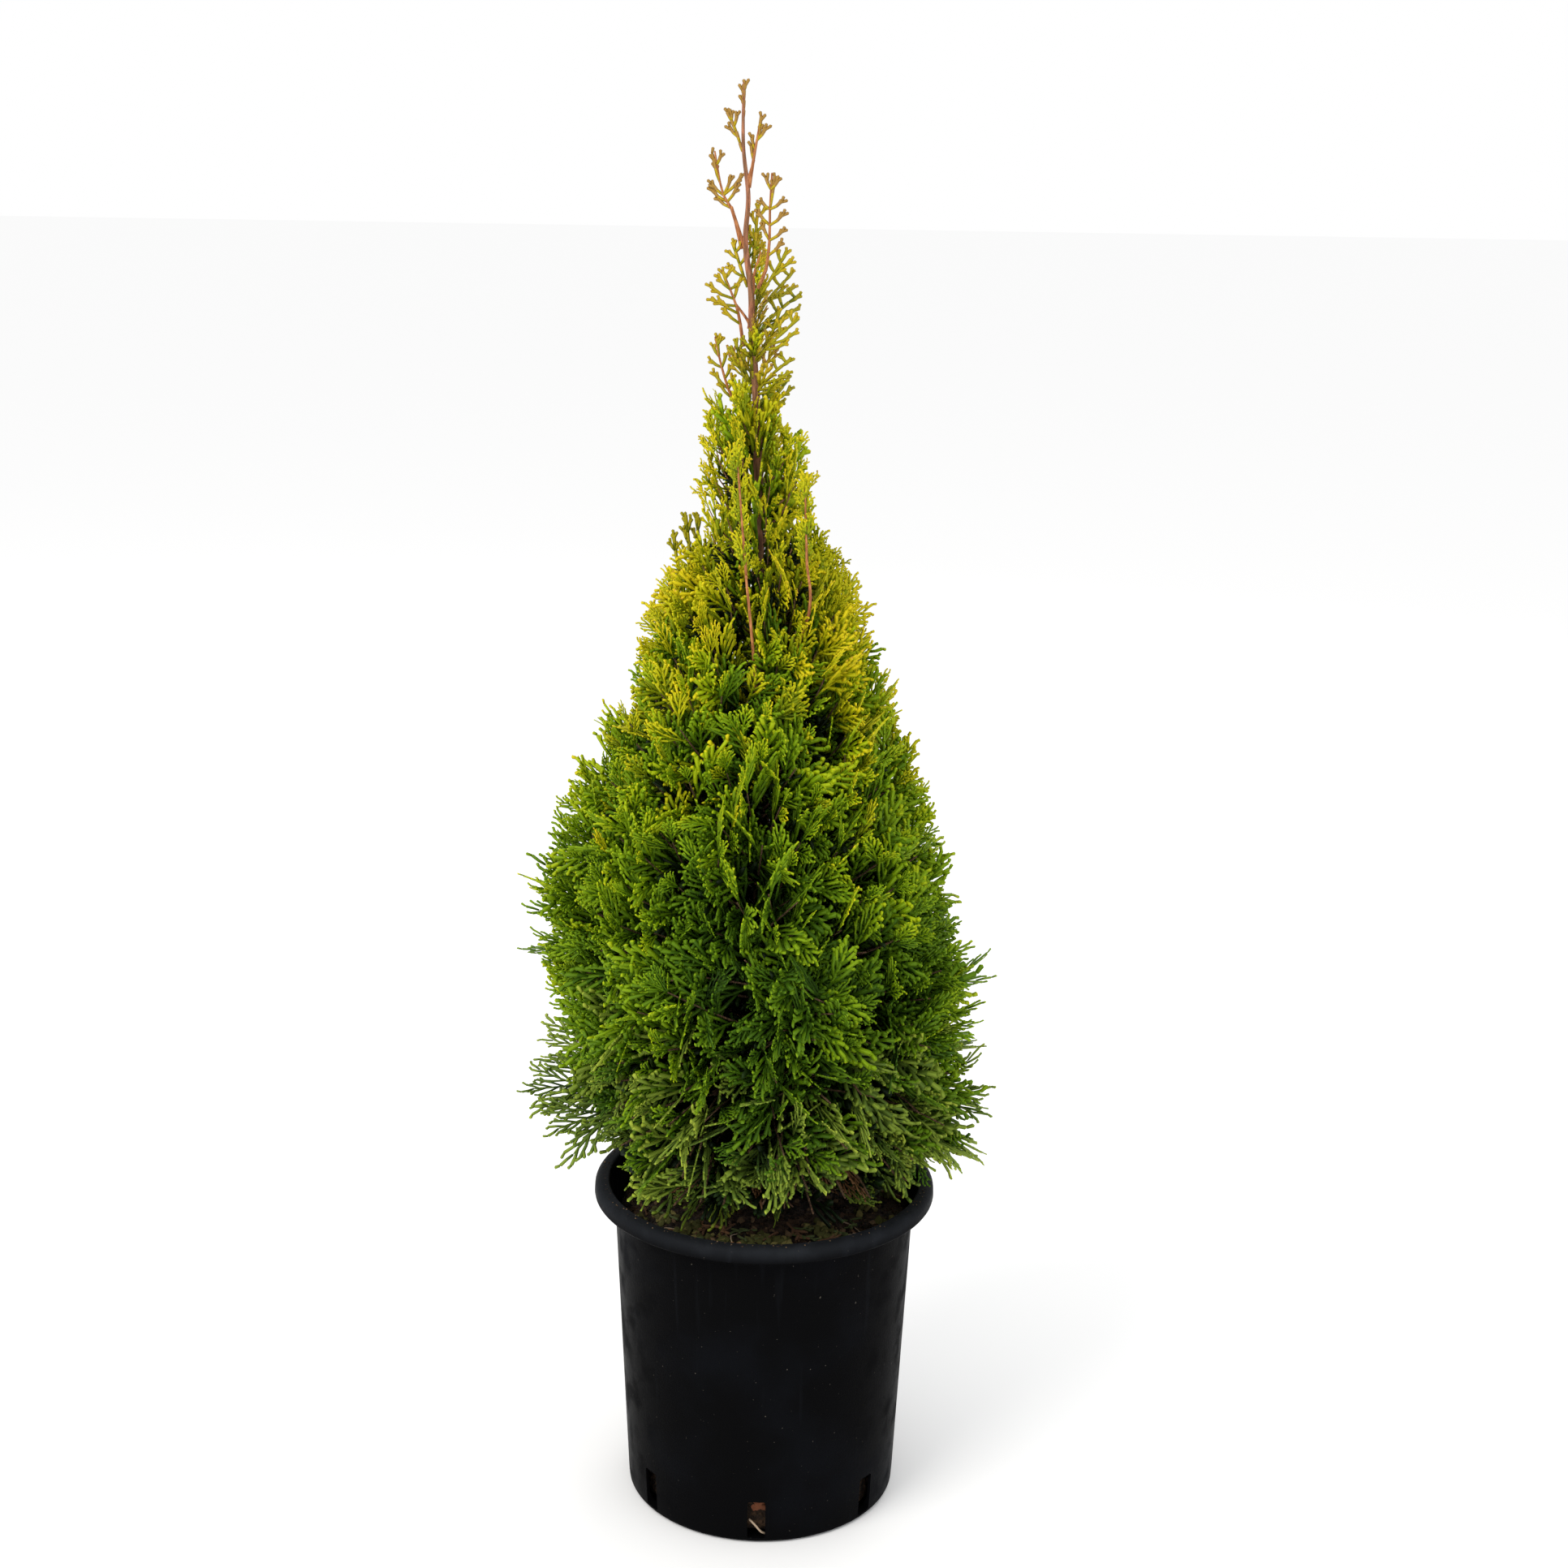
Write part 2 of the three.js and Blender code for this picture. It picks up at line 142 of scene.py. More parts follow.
for lamp_name, lamp in LAMPS.items():
    make_lamp(lamp_name, **lamp)
print("lamps", len(LAMPS))

world = bpy.data.worlds.new("surroundings")
world.use_nodes = True
world.node_tree.nodes["Background"].inputs["Color"].default_value = (1, 1, 1, 1)
world.node_tree.nodes["Background"].inputs["Strength"].default_value = 1.0
bpy.context.scene.world = world
bpy.context.scene.view_settings.view_transform = "Standard"
bpy.context.scene.view_settings.look = "None"


# %% Plain materials and the floor
def plain_material(name, color, roughness, specular):
    """One even colour, which a later helper may replace by a pattern."""
    material = bpy.data.materials.new(name)
    material.use_nodes = True
    shader = material.node_tree.nodes["Principled BSDF"]
    shader.inputs["Base Color"].default_value = (*color, 1)
    shader.inputs["Roughness"].default_value = roughness
    shader.inputs["Specular IOR Level"].default_value = specular
    return material


def srgb(red, green, blue):
    """Linear values of a colour given in 0 to 255 steps."""
    parts = [c / 255 for c in (red, green, blue)]
    return tuple(c / 12.92 if c < 0.04045 else ((c + 0.055) / 1.055) ** 2.4 for c in parts)


def mesh_object(name, verts, faces, materials, smooth=True):
    mesh = bpy.data.meshes.new(name)
    mesh.from_pydata([tuple(v) for v in verts], [], [tuple(f) for f in faces])
    mesh.polygons.foreach_set("use_smooth", [smooth] * len(mesh.polygons))
    for material in materials:
        mesh.materials.append(material)
    made = bpy.data.objects.new(name, mesh)
    bpy.context.scene.collection.objects.link(made)
    return made


FLOOR_REACH = 40
FLOOR_DROP = 0.0005  # just under the pot, so that the two faces don't fight
floor = mesh_object(
    "floor",
    [(x, y, -FLOOR_DROP) for x, y in ((-1, -1), (1, -1), (1, 1), (-1, 1))],
    [(0, 1, 2, 3)],
    [plain_material("floor_paper", (0.96, 0.96, 0.96), 0.95, 0.0)],
)
floor.data.transform(Matrix.Diagonal((FLOOR_REACH, FLOOR_REACH, 1, 1)))

# %% [markdown]
# ## Shared finish groups
# Dust, scuffs and grain appear on several finishes. Each material could hold its own noise, but a
# node group says it once. A group takes a scale and two levels and puts out a mask, and each
# material mixes colours, roughness or height by it in its own way.


# %% Parts of a finish group
def wire(tree, *pairs):
    """Links of a node tree, each from an output to an input."""
    for source, target in pairs:
        tree.links.new(source, target)


def new_group(name, inputs, outputs):
    """An empty group with named values, and its two end nodes."""
    group = bpy.data.node_groups.new(name, "ShaderNodeTree")
    for socket, value in inputs.items():
        made = group.interface.new_socket(socket, in_out="INPUT", socket_type="NodeSocketFloat")
        made.default_value = value
    for socket in outputs:
        group.interface.new_socket(socket, in_out="OUTPUT", socket_type="NodeSocketFloat")
    return group, group.nodes.new("NodeGroupInput"), group.nodes.new("NodeGroupOutput")


def noise_mask(group, inp, out, vector):
    """Noise on a vector, cut between the group's two levels into its mask."""
    grain = group.nodes.new("ShaderNodeTexNoise")
    cut = group.nodes.new("ShaderNodeMapRange")
    wire(
        group,
        (vector, grain.inputs["Vector"]),
        (inp.outputs["Scale"], grain.inputs["Scale"]),
        (grain.outputs["Fac"], cut.inputs["Value"]),
        (inp.outputs["Low"], cut.inputs["From Min"]),
        (inp.outputs["High"], cut.inputs["From Max"]),
        (cut.outputs["Result"], out.inputs["Mask"]),
    )
    return grain, cut


# %% Patch and streak groups
def patch_group():
    """A mask of soft patches: noise on object coordinates."""
    group, inp, out = new_group(
        "soft_patches", {"Scale": 40.0, "Detail": 6.0, "Low": 0.45, "High": 0.6}, ["Mask"]
    )
    place = group.nodes.new("ShaderNodeTexCoord")
    grain, cut = noise_mask(group, inp, out, place.outputs["Object"])
    cut.interpolation_type = "SMOOTHSTEP"
    wire(group, (inp.outputs["Detail"], grain.inputs["Detail"]))
    return group


def streak_group():
    """A mask of lines along the height: the same, with the pattern stretched upwards."""
    group, inp, out = new_group(
        "upright_streaks", {"Scale": 60.0, "Stretch": 0.08, "Low": 0.5, "High": 0.62}, ["Mask"]
    )
    place = group.nodes.new("ShaderNodeTexCoord")
    stretch = group.nodes.new("ShaderNodeMapping")
    axes = group.nodes.new("ShaderNodeCombineXYZ")
    axes.inputs["X"].default_value = 1
    axes.inputs["Y"].default_value = 1
    wire(
        group,
        (inp.outputs["Stretch"], axes.inputs["Z"]),
        (place.outputs["Object"], stretch.inputs["Vector"]),
        (axes.outputs["Vector"], stretch.inputs["Scale"]),
    )
    grain, _ = noise_mask(group, inp, out, stretch.outputs["Vector"])
    grain.inputs["Detail"].default_value = 5
    return group


PATCHES = patch_group()
STREAKS = streak_group()
print("finish groups", PATCHES.name, STREAKS.name)


# %% Masks and mixes in a material
def add_group(material, group, **values):
    """The mask of a shared group that is given its values."""
    node = material.node_tree.nodes.new("ShaderNodeGroup")
    node.node_tree = group
    for socket, value in values.items():
        node.inputs[socket].default_value = value
    return node.outputs["Mask"]


def mix_color(material, factor, first, second):
    """A colour mix: each side is a colour or the socket of an earlier mix."""
    node = material.node_tree.nodes.new("ShaderNodeMix")
    node.data_type = "RGBA"
    material.node_tree.links.new(factor, node.inputs[0])
    for socket, value in ((node.inputs[6], first), (node.inputs[7], second)):
        if isinstance(value, tuple):
            socket.default_value = (*value, 1)
        else:
            material.node_tree.links.new(value, socket)
    return node.outputs[2]


def scaled(material, factor, low, high):
    """A mask stretched to run from low to high."""
    node = material.node_tree.nodes.new("ShaderNodeMapRange")
    material.node_tree.links.new(factor, node.inputs["Value"])
    node.inputs["To Min"].default_value = low
    node.inputs["To Max"].default_value = high
    return node.outputs["Result"]


# %% Height masks and the finished material
def height_mask(material, low, high):
    """0 below one height of the plant and 1 above another."""
    tree = material.node_tree
    place = tree.nodes.new("ShaderNodeTexCoord")
    split = tree.nodes.new("ShaderNodeSeparateXYZ")
    cut = tree.nodes.new("ShaderNodeMapRange")
    cut.interpolation_type = "SMOOTHSTEP"
    wire(
        tree,
        (place.outputs["Object"], split.inputs["Vector"]),
        (split.outputs["Z"], cut.inputs["Value"]),
    )
    cut.inputs["From Min"].default_value = low
    cut.inputs["From Max"].default_value = high
    return cut.outputs["Result"]


def product(material, first, second):
    """Two masks multiplied."""
    node = material.node_tree.nodes.new("ShaderNodeMath")
    node.operation = "MULTIPLY"
    wire(material.node_tree, (first, node.inputs[0]), (second, node.inputs[1]))
    return node.outputs[0]


def finish_material(material, color, height, depth, roughness=None):
    """Colour, relief and, where it varies, roughness joined to the material's shader."""
    tree = material.node_tree
    shader = tree.nodes["Principled BSDF"]
    bump = tree.nodes.new("ShaderNodeBump")
    bump.inputs["Distance"].default_value = depth
    wire(
        tree,
        (color, shader.inputs["Base Color"]),
        (height, bump.inputs["Height"]),
        (bump.outputs["Normal"], shader.inputs["Normal"]),
    )
    if roughness is not None:
        wire(tree, (roughness, shader.inputs["Roughness"]))
    return material


# %% [markdown]
# ## Pot
# A nursery pot is one thin moulding of black plastic: a tapered wall under a rolled lip, and a
# floor with drainage slots round its corner. It could be a cylinder with a thickness added, but a
# turned profile gives the lip and the corners their true section. Rounded cutters then open the
# slots. The finish is dark and dull, with faint rubbed streaks and dust on the lip, whose bluish
# grey is partly a painted highlight.

# %% Pot sizes
POT_HEIGHT = 0.234
LIP_HEIGHT = 0.011
LIP_FOOT = POT_HEIGHT - LIP_HEIGHT
RIM_RADIUS = 0.120
MOUTH_RADIUS = 0.1095
NECK_RADIUS = 0.106
FOOT_RADIUS = 0.0958
FOOT_CORNER = 0.0035
NECK_CORNER = 0.0078
LIP_LOWER_CORNER = 0.0022
LIP_UPPER_CORNER = 0.0050
MOUTH_CORNER = 0.0018
WALL = 0.0022
POT_FLOOR = 0.003
POT_TURNS = 160
SLOT_COUNT = 7
SLOT_WIDTH = 0.0125
SLOT_HEIGHT = 0.029
SLOT_FOOT = 0.0035
SLOT_CORNER = 0.0016
SLOT_TURN = math.radians(-1)
CUTTER_DEPTH = 0.016
FULL_TURN = 2 * math.pi


def wall_radius(z):
    """Outer radius of the tapered wall at a height."""
    return FOOT_RADIUS + (NECK_RADIUS - FOOT_RADIUS) * (z / LIP_FOOT)


# %% Profile of the pot
def arc(centre, radius, start, end, steps):
    """Points of a rounded corner of the profile, angles in degrees."""
    angles = np.radians(np.linspace(start, end, steps))
    return [(centre[0] + radius * math.cos(a), centre[1] + radius * math.sin(a)) for a in angles]


def pot_profile():
    """Radius and height from the middle of the underside, over the lip, to the floor's middle."""
    upper = RIM_RADIUS - LIP_UPPER_CORNER - 0.0002
    outside = [(0, 0), (FOOT_RADIUS * 0.5, 0)]
    outside += arc((FOOT_RADIUS - FOOT_CORNER, FOOT_CORNER), FOOT_CORNER, -90, 0, 7)
    outside += [(wall_radius(z), z) for z in np.linspace(0.01, LIP_FOOT - 0.008, 12)]
    outside += arc((NECK_RADIUS + NECK_CORNER, LIP_FOOT - NECK_CORNER), NECK_CORNER, 180, 92, 8)
    outside += arc(
        (RIM_RADIUS - LIP_LOWER_CORNER, LIP_FOOT + LIP_LOWER_CORNER), LIP_LOWER_CORNER, -90, 0, 5
    )
    outside += arc((upper, POT_HEIGHT - LIP_UPPER_CORNER), LIP_UPPER_CORNER, 0, 90, 8)
    outside += arc(
        (MOUTH_RADIUS + MOUTH_CORNER, POT_HEIGHT - MOUTH_CORNER), MOUTH_CORNER, 90, 180, 5
    )
    inside = [(MOUTH_RADIUS, LIP_FOOT + 0.003), (NECK_RADIUS - WALL + 0.0006, LIP_FOOT - 0.004)]
    inside += [(wall_radius(z) - WALL, z) for z in np.linspace(LIP_FOOT - 0.012, 0.012, 10)]
    inside += [(FOOT_RADIUS - 0.006, POT_FLOOR), (FOOT_RADIUS * 0.5, POT_FLOOR), (0, POT_FLOOR)]
    return outside + inside


# %% Bodies turned on the pot's axis
def around(radius, angle):
    """A place on a circle about the pot's axis, with angle 0 at the front."""
    return radius * math.sin(angle), -radius * math.cos(angle)


def turned(name, profile, turns, materials, wobble=None):
    """A body of revolution whose profile starts and ends on the axis."""
    rings = profile[1:-1]
    verts = [(0, 0, profile[0][1]), (0, 0, profile[-1][1])]
    for radius, z in rings:
        for i in range(turns):
            angle = FULL_TURN * i / turns
            r, h = wobble(radius, z, angle) if wobble else (radius, z)
            verts.append((*around(r, angle), h))

    def at(ring, i):
        return 2 + ring * turns + i % turns

    faces = [(0, at(0, i + 1), at(0, i)) for i in range(turns)]
    for ring in range(len(rings) - 1):
        faces += [
            (at(ring, i), at(ring, i + 1), at(ring + 1, i + 1), at(ring + 1, i))
            for i in range(turns)
        ]
    last = len(rings) - 1
    faces += [(1, at(last, i), at(last, i + 1)) for i in range(turns)]
    return mesh_object(name, verts, faces, materials)


# %% Pot plastic
def pot_plastic():
    """Black plastic: broad grime, rubbed streaks and pale specks, with dust on the lip whose bluish
    grey is partly a painted highlight.
    """
    material = plain_material("black_pot_plastic", srgb(24, 25, 28), 0.5, 0.008)
    dust = add_group(material, PATCHES, Scale=55.0, Detail=8.0, Low=0.42, High=0.75)
    grime = add_group(material, PATCHES, Scale=14.0, Detail=5.0, Low=0.45, High=0.72)
    rubbed = add_group(material, STREAKS, Scale=130.0, Stretch=0.05, Low=0.62, High=0.72)
    rim = height_mask(material, POT_HEIGHT - 0.012, POT_HEIGHT - 0.001)
    body = mix_color(material, grime, srgb(9, 9, 10), srgb(13, 14, 17))
    body = mix_color(material, scaled(material, rubbed, 0, 0.2), body, srgb(27, 29, 33))
    specks = add_group(material, PATCHES, Scale=420.0, Detail=2.0, Low=0.74, High=0.78)
    body = mix_color(material, scaled(material, specks, 0, 0.55), body, srgb(96, 90, 82))
    # The lip's light bluish grey: partly real dust and partly a painted highlight.
    rim_dust_and_highlight = product(material, rim, scaled(material, dust, 0.30, 0.50))
    color = mix_color(material, rim_dust_and_highlight, body, srgb(50, 53, 58))
    rough = scaled(material, dust, 0.36, 0.62)
    fine = add_group(material, PATCHES, Scale=900.0, Detail=3.0, Low=0.2, High=0.8)
    return finish_material(material, color, fine, 0.00012, rough)


# %% Cutters for the drainage slots
def slot_cutters():
    """Rounded upright plugs, one through each drainage slot."""
    cutters = bmesh.new()
    for i in range(SLOT_COUNT):
        made = bmesh.ops.create_cube(cutters, size=1)["verts"]
        size = Matrix.Diagonal((SLOT_WIDTH, CUTTER_DEPTH, SLOT_HEIGHT, 1))
        lift = Matrix.Translation((0, -FOOT_RADIUS, SLOT_FOOT + SLOT_HEIGHT / 2))
        turn = Matrix.Rotation(SLOT_TURN + FULL_TURN * i / SLOT_COUNT, 4, "Z")
        bmesh.ops.transform(cutters, matrix=turn @ lift @ size, verts=made)
    edges = [e for e in cutters.edges if abs(e.calc_length() - CUTTER_DEPTH) < 1e-4]
    bmesh.ops.bevel(
        cutters, geom=edges, offset=SLOT_CORNER, segments=3, profile=0.5, affect="EDGES"
    )
    mesh = bpy.data.meshes.new("slot_cutters")
    cutters.to_mesh(mesh)
    cutters.free()
    made = bpy.data.objects.new("slot_cutters", mesh)
    bpy.context.scene.collection.objects.link(made)
    return made


# %% Plain meshes and finished pieces
def baked(obj, name):
    """The object's evaluated shape as a plain mesh object; the source is removed."""
    graph = bpy.context.evaluated_depsgraph_get()
    mesh = bpy.data.meshes.new_from_object(obj.evaluated_get(graph), depsgraph=graph)
    mesh.name = name
    bpy.data.objects.remove(obj)
    made = bpy.data.objects.new(name, mesh)
    bpy.context.scene.collection.objects.link(made)
    return made


def finish_piece(obj, slot, *replaced):
    """The piece rides on the plant's one body and stands in for built nodes; slot is not used."""
    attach(obj, "root")
    if replaced:
        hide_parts(*replaced)


# %% Turn the pot and open its slots
def make_pot():
    shell = turned("pot_shell", pot_profile(), POT_TURNS, [pot_plastic()])
    cutters = slot_cutters()
    cut = shell.modifiers.new("slots", "BOOLEAN")
    cut.object = cutters
    cut.solver = "EXACT"
    pot = baked(shell, "nursery_pot")
    bpy.data.objects.remove(cutters)
    pot.data.set_sharp_from_angle(angle=math.radians(38))
    return pot


pot = make_pot()
finish_piece(pot, "pot_plastic", "pot")
print("pot faces", len(pot.data.polygons))

# %% [markdown]
# ## Potting mix
# The mix is a damp plug that fills the pot to two centimetres below the lip. Its top is uneven
# and covered with crumbs, cushions of moss, dry fallen sprigs and a few pale roots. A flat disc
# with a bumpy finish would look flat at a low angle, so the plug is a turned body with noise in
# its radius and height, and the loose things are meshes that nodes scatter over it.

# %% Sizes and lumps of the mix
MIX_TOP = 0.2135
MIX_REACH = 0.1005
MIX_GAP = 0.0016  # between the mix and the wall
SLOT_RECESS = 0.007  # how far the mix stands back behind the slots
MOUND_HEIGHT = 0.003
MOUND_REACH = 0.03
EDGE_DROP = 0.004
LUMP_SCALE = 60
TOP_LUMPS = 0.0022
SIDE_LUMPS = 0.0008


def mix_wobble(radius, z, angle):
    """A low mound in the middle, a fall towards the wall, and lumps all over."""
    lump = noise.fractal(Vector((*around(radius, angle), z)) * LUMP_SCALE, 0.9, 2.1, 4)
    if z > MIX_TOP - 0.002:
        mound = MOUND_HEIGHT * math.exp(-((radius / MOUND_REACH) ** 2))
        edge = EDGE_DROP * (radius / MIX_REACH) ** 6
        return radius, z + mound - edge + TOP_LUMPS * lump
    return radius + SIDE_LUMPS * lump, z


# %% Plug of potting mix
def mix_profile():
    """Radius and height from the foot of the plug, up its side, to the middle of its top."""
    top = [(r, MIX_TOP) for r in np.linspace(0.003, MIX_REACH - 0.003, 44)]
    side = [
        (wall_radius(z) - WALL - MIX_GAP, z) for z in np.linspace(MIX_TOP - 0.004, 0.031, 20)
    ]
    behind_slots = wall_radius(0.02) - WALL - SLOT_RECESS
    under = [(behind_slots, z) for z in np.linspace(0.024, 0.006, 6)]
    foot = POT_FLOOR + 0.0004
    return [(0, foot), (0.04, foot)] + under[::-1] + side[::-1] + top[::-1] + [(0, MIX_TOP)]


def mix_material():
    """Damp dark mix with brown patches and pale grains, and a relief of the same grains."""
    material = plain_material("damp_potting_mix", srgb(40, 29, 22), 0.92, 0.25)
    broad = add_group(material, PATCHES, Scale=45.0, Detail=6.0, Low=0.4, High=0.62)
    fine = add_group(material, PATCHES, Scale=260.0, Detail=5.0, Low=0.4, High=0.66)
    color = mix_color(material, broad, srgb(24, 19, 15), srgb(50, 38, 29))
    color = mix_color(material, scaled(material, fine, 0, 0.6), color, srgb(88, 66, 47))
    return finish_material(material, color, fine, 0.0012)


EARTH = mix_material()
plug = turned("potting_mix_plug", mix_profile(), 150, [EARTH], mix_wobble)
finish_piece(plug, "potting_mix", "potting_mix")
print("mix faces", len(plug.data.polygons))

# %% [markdown]
# ## Scattering by nodes
# Crumbs, sprigs and sprays are a few shapes repeated hundreds of times. They could be copied one
# by one, but points that carry a turn, a size and a choice of shape say the same in less. One node
# tree serves them all: it puts a shape from a collection on every point, makes the copies real,
# and gives each face its finish by adding the copy's tone to the face's own age.


# %% Values, sums and finishes in a tree
def named_value(tree, name, kind):
    """What each point or face carries under a name."""
    node = tree.nodes.new("GeometryNodeInputNamedAttribute")
    node.data_type = kind
    node.inputs["Name"].default_value = name
    return node.outputs["Attribute"]


def math_node(tree, operation, first, second):
    """The result of a sum, whose two sides are numbers or outputs."""
    node = tree.nodes.new("ShaderNodeMath")
    node.operation = operation
    for socket, value in zip(node.inputs, (first, second)):
        if isinstance(value, (int, float)):
            socket.default_value = value
        else:
            tree.links.new(value, socket)
    return node.outputs[0]


def paint_by_number(tree, current, materials):
    """Each face gets the material whose number is nearest to its tone and age together."""
    number = math_node(
        tree, "ADD", named_value(tree, "tone", "FLOAT"), named_value(tree, "age", "FLOAT")
    )
    number = math_node(tree, "MINIMUM", number, len(materials) - 1)
    number = math_node(tree, "ROUND", math_node(tree, "MAXIMUM", number, 0), 0)
    for index, material in enumerate(materials):
        paint = tree.nodes.new("GeometryNodeSetMaterial")
        paint.inputs["Material"].default_value = material
        if index:
            past = tree.nodes.new("FunctionNodeCompare")
            past.operation = "GREATER_THAN"
            past.inputs["B"].default_value = index - 0.5
            wire(
                tree, (number, past.inputs["A"]), (past.outputs["Result"], paint.inputs["Selection"])
            )
        wire(tree, (current, paint.inputs["Geometry"]))
        current = paint.outputs["Geometry"]
    return current


# %% Scatter tree
def scatter_tree(name, materials):
    """Shapes on points; the tree's inputs are the points, a collection of shapes and a size."""
    tree = bpy.data.node_groups.new(name, "GeometryNodeTree")
    sockets = tree.interface
    sockets.new_socket("Geometry", in_out="INPUT", socket_type="NodeSocketGeometry")
    sockets.new_socket("Shapes", in_out="INPUT", socket_type="NodeSocketCollection")
    sockets.new_socket("Size", in_out="INPUT", socket_type="NodeSocketFloat").default_value = 1.0
    sockets.new_socket("Geometry", in_out="OUTPUT", socket_type="NodeSocketGeometry")
    inp = tree.nodes.new("NodeGroupInput")
    out = tree.nodes.new("NodeGroupOutput")
    shapes = tree.nodes.new("GeometryNodeCollectionInfo")
    shapes.inputs["Separate Children"].default_value = True
    shapes.inputs["Reset Children"].default_value = True
    spread = tree.nodes.new("GeometryNodeInstanceOnPoints")
    spread.inputs["Pick Instance"].default_value = True
    turn = tree.nodes.new("FunctionNodeEulerToRotation")
    real = tree.nodes.new("GeometryNodeRealizeInstances")
    size = math_node(tree, "MULTIPLY", named_value(tree, "size", "FLOAT"), inp.outputs["Size"])
    wire(
        tree,
        (inp.outputs["Shapes"], shapes.inputs["Collection"]),
        (inp.outputs["Geometry"], spread.inputs["Points"]),
        (shapes.outputs["Instances"], spread.inputs["Instance"]),
        (named_value(tree, "choice", "INT"), spread.inputs["Instance Index"]),
        (named_value(tree, "turn", "FLOAT_VECTOR"), turn.inputs["Euler"]),
        (turn.outputs["Rotation"], spread.inputs["Rotation"]),
        (size, spread.inputs["Scale"]),
        (spread.outputs["Instances"], real.inputs["Geometry"]),
    )
    painted = paint_by_number(tree, real.outputs["Geometry"], materials)
    wire(tree, (painted, out.inputs["Geometry"]))
    return tree


# %% Shapes scattered over points
def socket_of(tree, name):
    """The identifier by which a modifier knows one of the tree's inputs."""
    return next(
        item.identifier
        for item in tree.interface.items_tree
        if item.in_out == "INPUT" and item.name == name
    )


def scatter(name, tree, shapes, points):
    """A plain mesh of shapes on points, each point a place, Euler turn, size, choice and tone."""
    mesh = bpy.data.meshes.new(name + "_points")
    mesh.from_pydata([p[0] for p in points], [], [])
    mesh.attributes.new("turn", "FLOAT_VECTOR", "POINT").data.foreach_set(
        "vector", np.array([p[1] for p in points], dtype=np.float32).ravel()
    )
    for key, column, kind in (("size", 2, "FLOAT"), ("choice", 3, "INT"), ("tone", 4, "FLOAT")):
        values = np.array([p[column] for p in points], dtype=float)
        mesh.attributes.new(key, kind, "POINT").data.foreach_set(
            "value", values.astype(np.int32 if kind == "INT" else np.float32)
        )
    source = bpy.data.objects.new(name + "_points", mesh)
    bpy.context.scene.collection.objects.link(source)
    scattering = source.modifiers.new("scatter", "NODES")
    scattering.node_group = tree
    scattering[socket_of(tree, "Shapes")] = shapes
    scattering[socket_of(tree, "Size")] = 1.0
    return baked(source, name)


# %% Shelves of shapes
def shape_collection(name, meshes):
    """A collection that holds one object for each mesh, kept out of the scene."""
    shelf = bpy.data.collections.new(name)
    for i, mesh in enumerate(meshes):
        shelf.objects.link(bpy.data.objects.new(f"{name}_{i:02d}", mesh))
    return shelf


def clear_shelf(shelf):
    """The shapes go once their copies are made."""
    for obj in list(shelf.objects):
        mesh = obj.data
        bpy.data.objects.remove(obj)
        bpy.data.meshes.remove(mesh)
    bpy.data.collections.remove(shelf)


# %% Smooth paths
def smooth_path(points, steps):
    """Points on a smooth curve through the given ones."""
    knots = np.array([points[0], *points, points[-1]], dtype=float)
    spans = len(points) - 1
    curve = []
    for t in np.linspace(0, spans, steps):
        k = min(int(t), spans - 1)
        u = t - k
        a, b, c, d = knots[k : k + 4]
        curve.append(
            0.5
            * (
                2 * b
                + (c - a) * u
                + (2 * a - 5 * b + 4 * c - d) * u * u
                + (3 * b - a - 3 * c + d) * u**3
            )
        )
    return np.array(curve)


# %% Tubes along a path
def tube(path, radii, sides, relief=0.0, seed=0.0):
    """Vertices and faces of a closed tube along a path."""
    path = np.asarray(path, dtype=float)
    verts, faces = [], []
    tangent = np.gradient(path, axis=0)
    tangent /= np.linalg.norm(tangent, axis=1, keepdims=True)
    side = np.cross(tangent[0], (0.3, 0.9, 0.2))
    for k, at in enumerate(path):
        side = side - tangent[k] * np.dot(side, tangent[k])
        side /= np.linalg.norm(side)
        other = np.cross(tangent[k], side)
        for i in range(sides):
            a = FULL_TURN * i / sides
            ridge = 1.0
            if relief:
                spot = Vector((3 * math.cos(a), 3 * math.sin(a), at[2] * 30 + seed))
                ridge += relief * noise.fractal(spot, 0.9, 2.2, 3)
            verts.append(at + (side * math.cos(a) + other * math.sin(a)) * radii[k] * ridge)
    for k in range(len(path) - 1):
        for i in range(sides):
            j = (i + 1) % sides
            faces.append(
                (k * sides + i, k * sides + j, (k + 1) * sides + j, (k + 1) * sides + i)
            )
    first, last = len(verts), len(verts) + 1
    verts += [path[0], path[-1] + tangent[-1] * radii[-1]]
    top = (len(path) - 1) * sides
    for i in range(sides):
        j = (i + 1) % sides
        faces += [(first, j, i), (last, top + i, top + j)]
    return verts, faces


def joined(parts):
    """Vertices and faces of several parts as one."""
    verts, faces = [], []
    for part_verts, part_faces in parts:
        base = len(verts)
        verts += list(part_verts)
        faces += [tuple(base + i for i in face) for face in part_faces]
    return verts, faces


# %% Shape and finishes of a crumb
rng = np.random.default_rng(20)  # the draws for everything loose on the mix
CRUMB_SHAPES = 5
CRUMB_COUNT = 900
CRUMB_REACH = 0.1
LEAST_CRUMB, CRUMB_GROWTH = 0.0008, 0.0022
CUSHION_COUNT = 34
MOSS_RING = (0.055, 0.094)
MOSS_EDGE = 0.097
MOSS_SIZES = (0.0015, 0.0040)


def lump_mesh(name, seed, detail, roughness, flat):
    """A ball pushed in and out by noise, pressed flat by a factor."""
    ball = bmesh.new()
    bmesh.ops.create_icosphere(ball, subdivisions=detail, radius=1)
    for v in ball.verts:
        swell = 1 + roughness * noise.noise(v.co * 1.7 + Vector((seed, 0, 0)))
        v.co = v.co * swell
        v.co.z *= flat
    mesh = bpy.data.meshes.new(name)
    ball.to_mesh(mesh)
    ball.free()
    mesh.attributes.new("age", "FLOAT", "FACE")
    return mesh


